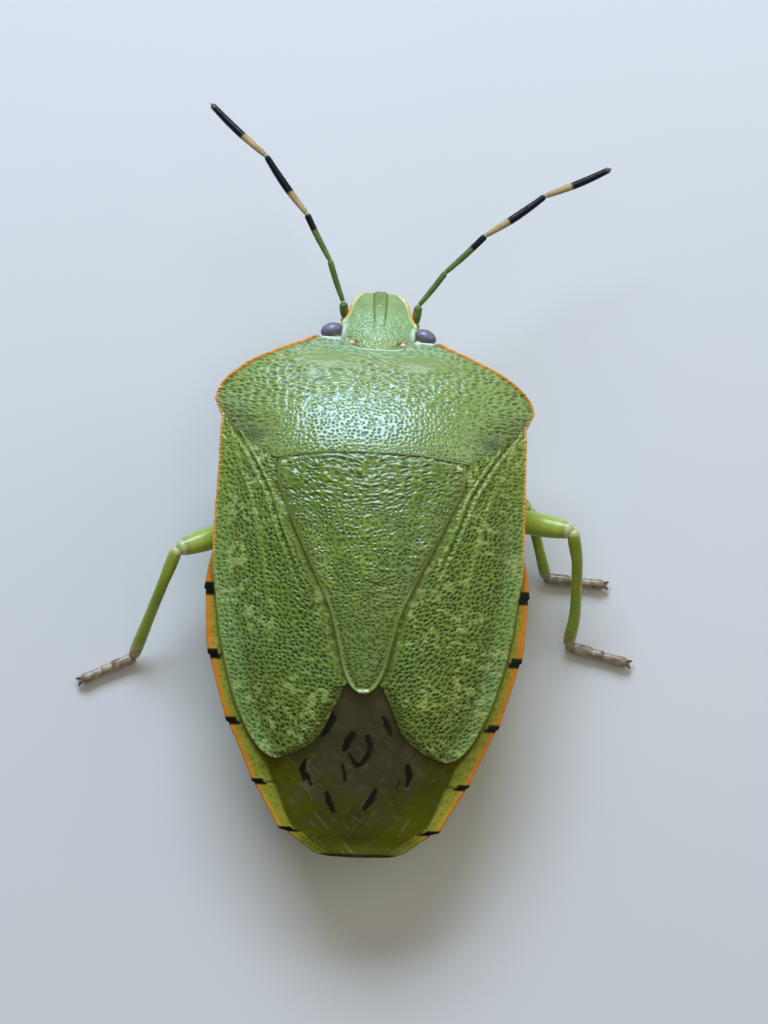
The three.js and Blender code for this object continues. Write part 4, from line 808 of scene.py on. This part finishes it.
        # the whitish tint on this piece between the eye and the head is a painted sheen
        b = ball((sd * (EX - 0.33), ES + 0.09, EZ + 0.02), (0.085, 0.24, 0.16), 32, 20)
        lot.rings(P3(b[..., 0], b[..., 1], b[..., 2]), True, white=0.55, net=0.3)
        b = ball((sd * (EX - 0.10), ES + 0.02, EZ - 0.14), (0.33, 0.26, 0.22), 40, 24)
        lot.rings(P3(b[..., 0], b[..., 1], b[..., 2]), True, net=0.35)
    # feeler sockets
    for sd, p in ((1, FEEL["left"][0]), (-1, FEEL["right"][0])):
        q = np.array(p); a = np.array([q[0] - sd * 0.06, q[1] + 0.10, q[2] - 0.05]); e = np.array([q[0], q[1] - 0.02, q[2] + 0.01])
        t = np.linspace(0, 1, 12)[:, None]; path = a + (e - a) * t
        rr, _, _ = tube_arrays(path, 0.17 - 0.03 * t[:, 0] ** 2, 24)
        lot.rings(Q3(rr), True, tone=0.2, dark=0.25)
    lot.make("head_skin", MAT_HEAD, ("head",), place=lambda v: v)


EX, ES, EZ, ERX, ERY, ERZ = 1.30, 1.37, 3.10, 0.32, 0.225, 0.27
FEEL = {
    "left": [[0.99, 0.80, 2.5], [1.05, 0.425, 2.75], [1.468, -0.709, 3.05], [2.16, -1.96, 3.3], [3.37, -3.59, 3.4], [5.022, -5.139, 3.2]],
    "right": [[-1.0, 0.9, 2.5], [-1.07, 0.46, 2.75], [-1.798, -0.463, 3.05], [-2.89, -1.505, 3.3], [-4.54, -2.69, 3.4], [-6.416, -3.617, 3.2]]}


def make_eyes():
    m = Mat("compound_eye", rough=0.2, spec=0.5, coat=0.35, coat_rough=0.08)
    cell = m.vor(26000)
    c = m.mix(m.span(cell, 0.1, 0.6), (0.215, 0.205, 0.270), (0.115, 0.105, 0.150))
    c = m.mix(m.attr("rim"), c, (0.030, 0.024, 0.042))
    c = m.mix(m.math("MULTIPLY", m.noise(1500, 2), 0.35), c, (0.26, 0.21, 0.30))
    m.colour(c); m.bump(m.math("SUBTRACT", 1.0, cell), 0.000008, 0.7)
    m.rough(m.span(cell, 0.0, 0.7, 0.18, 0.32))
    for sd, nm in ((1, "eye_left"), (-1, "eye_right")):
        nu, nv = 120, 80
        th = np.linspace(0.01, np.pi - 0.01, nv)[:, None]; ph = (np.arange(nu) / nu * 2 * np.pi)[None]
        X, Y, Z = np.sin(th) * np.cos(ph), np.sin(th) * np.sin(ph), np.cos(th) + 0 * ph
        # a kidney bean outline: blunter behind
        rx, ry = ERX * (1 - 0.06 * (Y > 0) * Y), ERY * (1 + 0.05 * X * sd)
        ex, es = rx * X * sd, ry * Y * np.where(Y > 0, 0.78, 1.05); a = math.radians(17)
        x, s, z = sd * (EX + 0.01 + ex * sd * math.cos(a) - es * math.sin(a)), ES + 0.03 + ex * sd * math.sin(a) + es * math.cos(a), EZ + ERZ * Z
        rr = np.sqrt(X ** 2 + Y ** 2); rim = np.maximum(sstep(0.68, 0.88, rr) * (1 - sstep(0.15, 0.5, Y)), 1 - sstep(-0.2, 0.15, Z))
        lot = Lot(("rim",)); lot.rings(P3(x, s, z), True, rim=np.clip(rim, 0, 1))
        lot.make(nm + "_lens", m.m, (nm,), place=lambda v: v)
    o = Mat("ocellus_bead", rough=0.08, spec=0.6, coat=0.8, coat_rough=0.04)
    c = o.mix(o.span(o.noise(7000, 2), 0.3, 0.7), (0.55, 0.22, 0.05), (0.74, 0.48, 0.24)); c = o.mix(o.attr("ring"), c, (0.10, 0.022, 0.008)); c = o.mix(o.attr("mark"), c, (0.012, 0.008, 0.006)); o.colour(c)
    for sd, nm in ((1, "ocellus_left"), (-1, "ocellus_right")):
        zc = float(head_top(1.77) - (head_top(1.77) - head_edge(1.77)) * (0.72 / head_half(1.77)) ** 2.4)
        b = ball((sd * 0.72, 1.765, zc + 0.055), (0.108, 0.094, 0.085), 48, 32)
        ring = np.clip(1 - sstep(0.0, 0.03, b[..., 2] - zc - 0.055), 0, 1)
        lot = Lot(("ring", "mark")); lot.rings(P3(b[..., 0], b[..., 1], b[..., 2]), True, ring=ring * 0.8)
        b = ball((sd * 0.615, 1.705, zc + 0.055), (0.075, 0.062, 0.050), 28, 18); lot.rings(P3(b[..., 0], b[..., 1], b[..., 2]), True, mark=1.0)
        lot.make(nm, o.m, place=lambda v: v)


# ------------------------------------------------------------------ feelers, beak
def make_feelers():
    m = Mat("feeler_cuticle", rough=0.36, spec=0.22, coat=0.0)
    n = m.noise(2200, 2); f = m.noise(14000, 2)
    c = m.mix(m.span(n, 0.3, 0.7), (0.072, 0.122, 0.026), (0.130, 0.190, 0.045))
    c = m.mix(m.attr("tan"), c, m.mix(m.span(n, 0.3, 0.7), (0.350, 0.230, 0.085), (0.470, 0.340, 0.150)))
    c = m.mix(m.attr("black"), c, (0.003, 0.003, 0.005)); c = m.mix(m.attr("brown"), c, (0.16, 0.075, 0.03))
    # white here is a small painted glint on the joint beads
    c = m.mix(m.attr("white"), c, (0.62, 0.66, 0.55)); c = m.mix(m.attr("orange"), c, (0.55, 0.16, 0.03))
    m.colour(c); m.rough(m.span(f, 0.3, 0.7, 0.26, 0.46)); m.bump(f, 0.000012, 0.8)
    H = Mat("fine_hair", rough=0.4, spec=0.4); H.colour(H.mix(H.span(H.noise(3000, 1), 0.3, 0.7), (0.050, 0.042, 0.026), (0.10, 0.085, 0.055)))
    rng = np.random.default_rng(7)
    R = [(0.105, 0.125, 0.115), (0.062, 0.082, 0.088), (0.070, 0.088, 0.095), (0.070, 0.110, 0.085), (0.075, 0.106, 0.085)]
    for side in ("left", "right"):
        P = np.array(FEEL[side]); lot = Lot(("tan", "black", "brown", "white", "orange"))
        hv, hq, ht, huv, nh = [], [], [], [], 0
        for k in range(5):
            a, b = P[k], P[k + 1]; n_ = 70; t = np.linspace(0, 1, n_)
            d = b - a; L = np.linalg.norm(d)
            bow = np.array([-d[1], d[0], 0]) / L * 0.03 * L * (1 if side == "left" else -1) * np.sin(np.pi * t)[:, None] * (0.6 if k > 2 else 0.35)
            path = a + d * (t[:, None] * 0.985 + 0.0075) + bow
            r = curve([[0, R[k][0]], [0.5, R[k][1]], [1, R[k][2]]])(t)
            end = 0.05 / L
            r = r * np.clip(np.minimum(sstep(-end * 0.6, end, t), 1) * np.minimum(sstep(-end * (0.6 if k < 4 else 0.05), end * (1 if k < 4 else 2.2), 1 - t), 1), 0.42 if k < 4 else 0.2, 1)
            rr, tt, aa = tube_arrays(path, r, 28)
            tan = (1 - sstep(0.36, 0.40, tt)) if k == 3 else (1 - sstep(0.36, 0.41, tt)) if k == 4 else 0 * tt
            black = sstep(0.64, 0.68, tt) if k == 2 else sstep(0.36, 0.40, tt) if k == 3 else sstep(0.36, 0.41, tt) * (1 - sstep(0.90, 0.95, tt)) if k == 4 else 0 * tt
            brown = sstep(0.90, 0.95, tt) if k == 4 else 0.35 * (1 - sstep(0, 0.5, tt)) if k == 0 else 0 * tt
            lot.rings(rr, True, tan=tan, black=black, brown=brown, white=0 * tt, orange=(0.8 * np.exp(-((tt - 0.42) / 0.18) ** 2) * sstep(0.2, 0.9, np.cos(aa - (0.3 if side == "left" else 2.8))) if k == 0 else 0 * tt))
            if k < 4:                                    # joint between two pieces: a tan bead, on all but the second tinted whitish as a painted glint
                j = ball(b, 0.068 if k < 2 else 0.072, 20, 12); lot.rings(j, True, white=0.30 if k < 1 or k > 1 else 0.0, tan=0.3)
            if k > 0:                                    # fine short hairs
                cnt = int((26, 60, 80, 150, 190)[k])
                for q in range(cnt):
                    i = rng.integers(3, n_ - 4); ang = rng.uniform(0, 2 * np.pi)
                    g = path[i]; dd = d / L; uu = np.cross(dd, [0, 0, 1]); uu /= np.linalg.norm(uu); ww = np.cross(uu, dd)
                    o_ = np.cos(ang) * uu + np.sin(ang) * ww
                    p0 = g + o_ * r[i] * 0.92; dirn = o_ * 0.75 + dd * rng.uniform(0.6, 1.0); dirn /= np.linalg.norm(dirn)
                    ln = rng.uniform(0.035, 0.075); sdv = np.cross(dirn, dd); sdv /= np.linalg.norm(sdv) + 1e-9; td = np.cross(dirn, sdv)
                    w_ = 0.0045
                    base = [p0 + w_ * (math.cos(e) * sdv + math.sin(e) * td) for e in (0, 2.094, 4.189)]
                    hv += base + [p0 + dirn * ln]
                    ht += [[nh, nh + 1, nh + 3], [nh + 1, nh + 2, nh + 3], [nh + 2, nh, nh + 3], [nh, nh + 2, nh + 1]]
                    c0 = ((k + 0.02 + 0.96 * i / n_) / 5.0, ang / 6.2832 * 0.99); huv += [c0, (c0[0] + 0.003, c0[1]), (c0[0], c0[1] + 0.003), (c0[0] + 0.003, c0[1] + 0.003)]
                    nh += 4
        lot.make("feeler_" + side, m.m, tuple(f"antenna_{side}_{k}" for k in range(1, 6)))
        ob = obj_from("feeler_hairs_" + side, Q3(np.array(hv)), np.zeros((0, 4), int), ht, {}, H.m, smooth=False)
        me = ob.data; uvl = me.uv_layers.new(name="OFBake"); li = np.empty(len(me.loops), np.int32); me.loops.foreach_get("vertex_index", li)
        if len(me.vertices) == len(huv):
            uvl.data.foreach_set("uv", np.array(huv, np.float32)[li].ravel())
    b = Mat("beak_cuticle", rough=0.35, spec=0.5); n = b.noise(2500, 2)
    c = b.mix(b.span(n, 0.3, 0.7), (0.27, 0.33, 0.07), (0.38, 0.43, 0.13)); c = b.mix(b.attr("tip"), c, (0.05, 0.03, 0.015)); b.colour(c); b.rough(b.span(n, 0.3, 0.7, 0.28, 0.42))
    pts = np.array([[0.03, 0.30, 1.80], [0.03, 0.5, 1.66], [0.04, 1.2, 1.46], [0.05, 2.0, 1.34], [0.05, 3.0, 1.08], [0.06, 4.0, 0.90], [0.06, 5.2, 0.82], [0.06, 6.6, 0.74], [0.06, 6.85, 0.73]])
    t = np.linspace(0, 1, 160); kk = np.linspace(0, 1, len(pts))
    path = np.stack([curve(list(zip(kk, pts[:, i])))(t) for i in range(3)], -1)
    r = curve([[0, 0.06], [0.05, 0.16], [0.2, 0.175], [0.27, 0.145], [0.3, 0.165], [0.52, 0.15], [0.54, 0.12], [0.57, 0.14], [0.76, 0.12], [0.78, 0.10], [0.81, 0.12], [0.95, 0.10], [1, 0.045]])(t)
    rr, tt, aa = tube_arrays(path, r, 28, squash=lambda a, t: 1 - 0.12 * np.cos(2 * a) - 0.12 * np.exp(-((np.mod(a, 2 * np.pi) - 4.712) / 0.18) ** 2))
    lot = Lot(("tip",)); lot.rings(rr, True, tip=sstep(0.93, 0.98, tt)); lot.make("beak", b.m, ("rostrum",))


# ------------------------------------------------------------------ legs
LEG = {
    "front_left": dict(hip=[1.0, 4.1, 0.86], knee=[3.15, 3.6, 1.66], ankle=[1.95, 1.75], toe=[1.05, 1.0]),
    "front_right": dict(hip=[-1.0, 4.1, 0.86], knee=[-4.42, 5.98, 1.5], ankle=[-4.985, 7.69], toe=[-6.6, 7.83]),
    "middle_left": dict(hip=[1.25, 5.7, 0.82], knee=[5.434, 7.6, 2.55], ankle=[6.69, 10.37], toe=[8.1, 11.05], bend=[5.75, 8.35, 2.15]),
    "middle_right": dict(hip=[-1.25, 5.7, 0.82], knee=[-5.60, 6.72, 2.55], ankle=[-5.66, 9.63], toe=[-7.3, 10.05], bend=[-5.85, 7.6, 1.95]),
    "hind_left": dict(hip=[1.35, 7.0, 0.76], knee=[3.1, 10.4, 1.2], ankle=[2.4, 13.7], toe=[1.6, 15.0]),
    "hind_right": dict(hip=[-1.35, 7.0, 0.76], knee=[-3.1, 10.4, 1.2], ankle=[-2.4, 13.7], toe=[-1.6, 15.0]),
}


def smooth_path(pts, n):
    pts = np.asarray(pts, float); d = np.r_[0, np.cumsum(np.linalg.norm(np.diff(pts, axis=0), axis=1))]; d /= d[-1]
    t = np.linspace(0, 1, n)
    return np.stack([curve(list(zip(d, pts[:, i])))(t) for i in range(3)], -1)


def make_legs():
    m = Mat("leg_cuticle", rough=0.30, spec=0.45, coat=0.15, coat_rough=0.18, sss=0.0)
    n1 = m.noise(900, 3, 0.55); n2 = m.noise(5200, 2)
    c = m.mix(m.span(n1, 0.3, 0.7), (0.300, 0.370, 0.028), (0.420, 0.470, 0.070))
    c = m.mix(m.attr("green"), c, m.mix(m.span(n1, 0.3, 0.7), (0.170, 0.225, 0.012), (0.265, 0.325, 0.025)))
    c = m.mix(m.attr("dot"), c, (0.15, 0.22, 0.03)); c = m.mix(m.attr("pale"), c, (0.52, 0.50, 0.28))
    c = m.mix(m.attr("pink"), c, m.mix(m.span(n2, 0.3, 0.7), (0.140, 0.080, 0.040), (0.430, 0.330, 0.215)))
    c = m.mix(m.attr("brown"), c, (0.13, 0.065, 0.035)); c = m.mix(m.attr("black"), c, (0.012, 0.009, 0.008))
    m.colour(c); m.rough(m.span(n2, 0.3, 0.7, 0.2, 0.38)); m.bump(n2, 0.00001, 0.6)
    keys = ("green", "dot", "pale", "pink", "brown", "black")
    rng = np.random.default_rng(11)
    Hm = bpy.data.materials["fine_hair"]
    for name, L in LEG.items():
        lot = Lot(keys); hip, knee = np.array(L["hip"]), np.array(L["knee"])
        out = knee - hip; out /= np.linalg.norm(out)
        sd = 1 if hip[0] > 0 else -1
        # hip: a round cup, then the short second piece, then the thigh
        up = np.array([0, 0, 1.0])
        lot.rings(ball(hip + up * 0.13, (0.40, 0.36, 0.30), 48, 28), True, pale=0.15)
        tr = hip + out * 0.36 - up * 0.02
        lot.rings(ball(tr, (0.22, 0.22, 0.20), 40, 24), True, pale=0.25)
        start = hip + out * 0.42; path = smooth_path([start, lerp(start, knee, 0.35) - up * 0.03, lerp(start, knee, 0.7) - up * 0.01, knee], 150)
        t = np.linspace(0, 1, 150)
        k = 0.92 if "front" in name else 1.0
        r = k * curve([[0, 0.13], [0.05, 0.20], [0.25, 0.275], [0.55, 0.325], [0.8, 0.305], [0.93, 0.25], [0.98, 0.19], [1, 0.08]])(t)
        rr, tt, aa = tube_arrays(path, r, 44, squash=lambda a, t: 1 + 0.05 * np.cos(2 * a) - 0.05 * np.exp(-((np.mod(a, 2 * np.pi) - 4.712) / 0.5) ** 2))
        f1, f2, rnd = cells(tt * 26, aa * 2.6, 501, 0.9)
        dot = (1 - sstep(0.08, 0.2, f1)) * (rnd > 0.55) * 0.7
        lot.rings(rr, True, dot=dot, pale=0.75 * np.exp(-((tt - 0.975) / 0.02) ** 2), brown=0.35 * np.exp(-((tt - 0.945) / 0.012) ** 2), green=0.25 * (1 - sstep(0, 0.5, tt)))
        # shin, with a flat outer face between two fine keels
        ank = np.array([*L["ankle"], 0.24]); b = np.array(L["bend"]) if "bend" in L else lerp(knee, ank, 0.5)
        d0 = b - knee; d0 /= np.linalg.norm(d0)
        if name == "middle_right": b = np.array([-5.77, 7.6, 1.95]); d0 = b - knee; d0 /= np.linalg.norm(d0)
        low = lerp(b, ank, 0.55) + (np.array([-0.09, 0, 0.02]) if name == "middle_right" else np.array([0, 0, 0.02]))
        pts = [knee - d0 * 0.02 + up * 0.04, knee + d0 * 0.22, b, low, ank + up * 0.02]
        path = smooth_path(pts, 150)
        r = k * curve([[0, 0.10], [0.03, 0.165], [0.10, 0.175], [0.3, 0.150], [0.6, 0.150], [0.9, 0.170], [0.97, 0.150], [1, 0.08]])(t)
        rr, tt, aa = tube_arrays(path, r, 36, squash=lambda a, t: 1 + 0.07 * np.abs(np.cos(1.5 * a)) - 0.08 * np.exp(-((np.mod(a, 2 * np.pi) - 1.571) / 0.35) ** 2))
        tip = sstep(0.80, 0.97, tt)
        lot.rings(rr, True, green=(0.75 if "middle" in name or "front" in name else 0.4) * (1 - 0.7 * tip) * sstep(0.03, 0.12, tt), pale=0.6 * (1 - sstep(0.0, 0.06, tt)), pink=0.75 * tip)
        # foot: three pieces, the middle one short, with pads and two claws
        toe = np.array([*L["toe"], 0.20]); f = toe - ank; fl = np.linalg.norm(f[:2]); fd = f / np.linalg.norm(f)
        cuts = [(-0.04, 0.43, 0.145, 0.16), (0.385, 0.62, 0.120, 0.145), (0.575, 1.02, 0.115, 0.15)]
        for a0, a1, r0, r1 in cuts:
            tt_ = np.linspace(0, 1, 60); zc = 0.185 + 0.02 * np.sin(np.pi * tt_)
            path = ank[None] + f[None] * lerp(a0, a1, tt_)[:, None]; path[:, 2] = zc
            rad = curve([[0, 0.45 * r0], [0.08, r0], [0.5, lerp(r0, r1, 0.4)], [0.85, r1], [0.95, 0.9 * r1], [1, 0.5 * r1]])(tt_)
            rr, t3, aa = tube_arrays(path, rad, 32)
            rr[..., 2] = np.maximum(rr[..., 2], 0.045 + 0.01 * np.abs(np.sin(t3 * 9)))
            lot.rings(rr, True, pink=1.0, brown=0.30 * sstep(0.6, 1.0, t3) + (0.35 if a0 > 0.6 else 0.0) * sstep(0.2, 0.8, t3), pale=0.0)
        # soles: low pads that meet the floor
        for a0, a1, w in ((0.02, 0.37, 0.11), (0.44, 0.58, 0.095), (0.66, 0.95, 0.10)):
            c_ = ank + f * (a0 + a1) / 2; c_[2] = 0.075
            q = np.linspace(0, 1, 40); path = ank[None] + f[None] * lerp(a0, a1, q)[:, None]; path[:, 2] = 0.085
            rad = w * np.clip(np.sin(np.pi * np.clip(q, 0.03, 0.97)), 0.15, 1) ** 0.35
            rr, t3, aa = tube_arrays(path, rad, 24); rr[..., 2] = np.maximum(rr[..., 2], 0.004)
            lot.rings(rr, True, pink=1.0, brown=0.2)
        side_v = np.cross(fd, up); tipc = ank + f * 1.02; tipc[2] = 0.185
        for q in (-1, 1):
            t_ = np.linspace(0, 1, 30)[:, None]
            cp = tipc + fd * (-0.02 + 0.17 * np.sin(t_ * 1.5)) + side_v * q * (0.045 + 0.075 * t_) + up * (0.04 * np.sin(t_ * 2.2) - 0.15 * t_ ** 2)
            cp[:, 2] = np.maximum(cp[:, 2], 0.02)
            rr, t3, _ = tube_arrays(cp, 0.042 * (1 - t_[:, 0]) ** 0.7 + 0.006, 14); lot.rings(rr, True, black=0.3 + 0.7 * sstep(0.2, 0.6, t3), brown=0.8)
        lot.rings(ball(tipc + fd * 0.05 - up * 0.02, (0.07, 0.07, 0.045), 20, 12), True, pink=1.0, pale=0.3)
        lot.make("leg_" + name, m.m, (f"femur_{name}", f"tibia_{name}", f"tarsus_{name}"))


# ------------------------------------------------------------------ floor, light, camera
def make_stage():
    m = Mat("floor_card", rough=0.75, spec=0.25)
    n = m.noise(60, 3, 0.5)
    m.colour(m.mix(n, (0.63, 0.60, 0.56), (0.67, 0.64, 0.60)))
    me = bpy.data.meshes.new("floor"); r = 0.9
    me.from_pydata([(-r, -r, 0), (r, -r, 0), (r, r, 0), (-r, r, 0)], [], [(0, 1, 2, 3)])
    ob = bpy.data.objects.new("floor", me); bpy.context.scene.collection.objects.link(ob); me.materials.append(m.m)
    w = bpy.context.scene.world or bpy.data.worlds.new("world"); bpy.context.scene.world = w; w.use_nodes = True
    bg = w.node_tree.nodes["Background"]; bg.inputs[0].default_value = (0.95, 0.98, 0.92, 1); bg.inputs[1].default_value = 0.20

    def area(name, loc, target, size, energy, col, sy=None):
        l = bpy.data.lights.new(name, "AREA"); l.energy = energy; l.color = col; l.shape = "RECTANGLE"; l.size = size; l.size_y = sy or size
        o = bpy.data.objects.new(name, l); o.location = loc
        o.rotation_euler = (Vector(target) - Vector(loc)).to_track_quat("-Z", "Y").to_euler()
        bpy.context.scene.collection.objects.link(o)
    area("key_front", (0.015, -0.092, 0.078), (0, -0.002, 0.004), 0.092, 0.220, (0.59, 0.745, 1.0), 0.052)
    area("fill_top", (-0.03, 0.00, 0.16), (0, 0, 0.0), 0.12, 0.042, (1.0, 0.98, 0.90))
    area("fill_left", (0.14, -0.03, 0.07), (0, 0, 0.003), 0.09, 0.008, (0.95, 1.0, 0.97))
    area("fill_right", (-0.12, -0.05, 0.07), (0, 0, 0.003), 0.09, 0.034, (1.0, 1.0, 0.90))
    vs = bpy.context.scene.view_settings
    vs.view_transform = "Standard"; vs.look = "None"; vs.exposure = 0.0; vs.gamma = 1.0


def make_camera():
    E, rho = math.radians(80.0), math.radians(1.93)
    f = np.array([0, -math.cos(E), -math.sin(E)]); u = np.array([0, -math.sin(E), math.cos(E)]); r = np.array([-1.0, 0, 0])
    u2 = math.cos(rho) * u - math.sin(rho) * r; r2 = math.cos(rho) * r + math.sin(rho) * u
    C = np.array([-0.294 + SX, 13.880 + SY, 90.622]) * MM
    cam = bpy.data.cameras.new("camera"); cam.sensor_width = 36; cam.lens = 112.5; cam.clip_start = 0.002; cam.clip_end = 10
    cam.sensor_fit = "AUTO"
    o = bpy.data.objects.new("camera", cam)
    M = Matrix(((r2[0], u2[0], -f[0], C[0]), (r2[1], u2[1], -f[1], C[1]), (r2[2], u2[2], -f[2], C[2]), (0, 0, 0, 1)))
    o.matrix_world = M
    bpy.context.scene.collection.objects.link(o); bpy.context.scene.camera = o


make_camera()
make_stage()
make_pronotum()
make_scutellum()
make_corium(1, "corium_left", "wing_left")
make_corium(-1, "corium_right", "wing_right")
make_membrane(1, "membrane_left", 0.02)
make_membrane(-1, "membrane_right", 0.06)
make_abdomen()
make_thorax()
make_head()
make_eyes()
make_feelers()
make_legs()
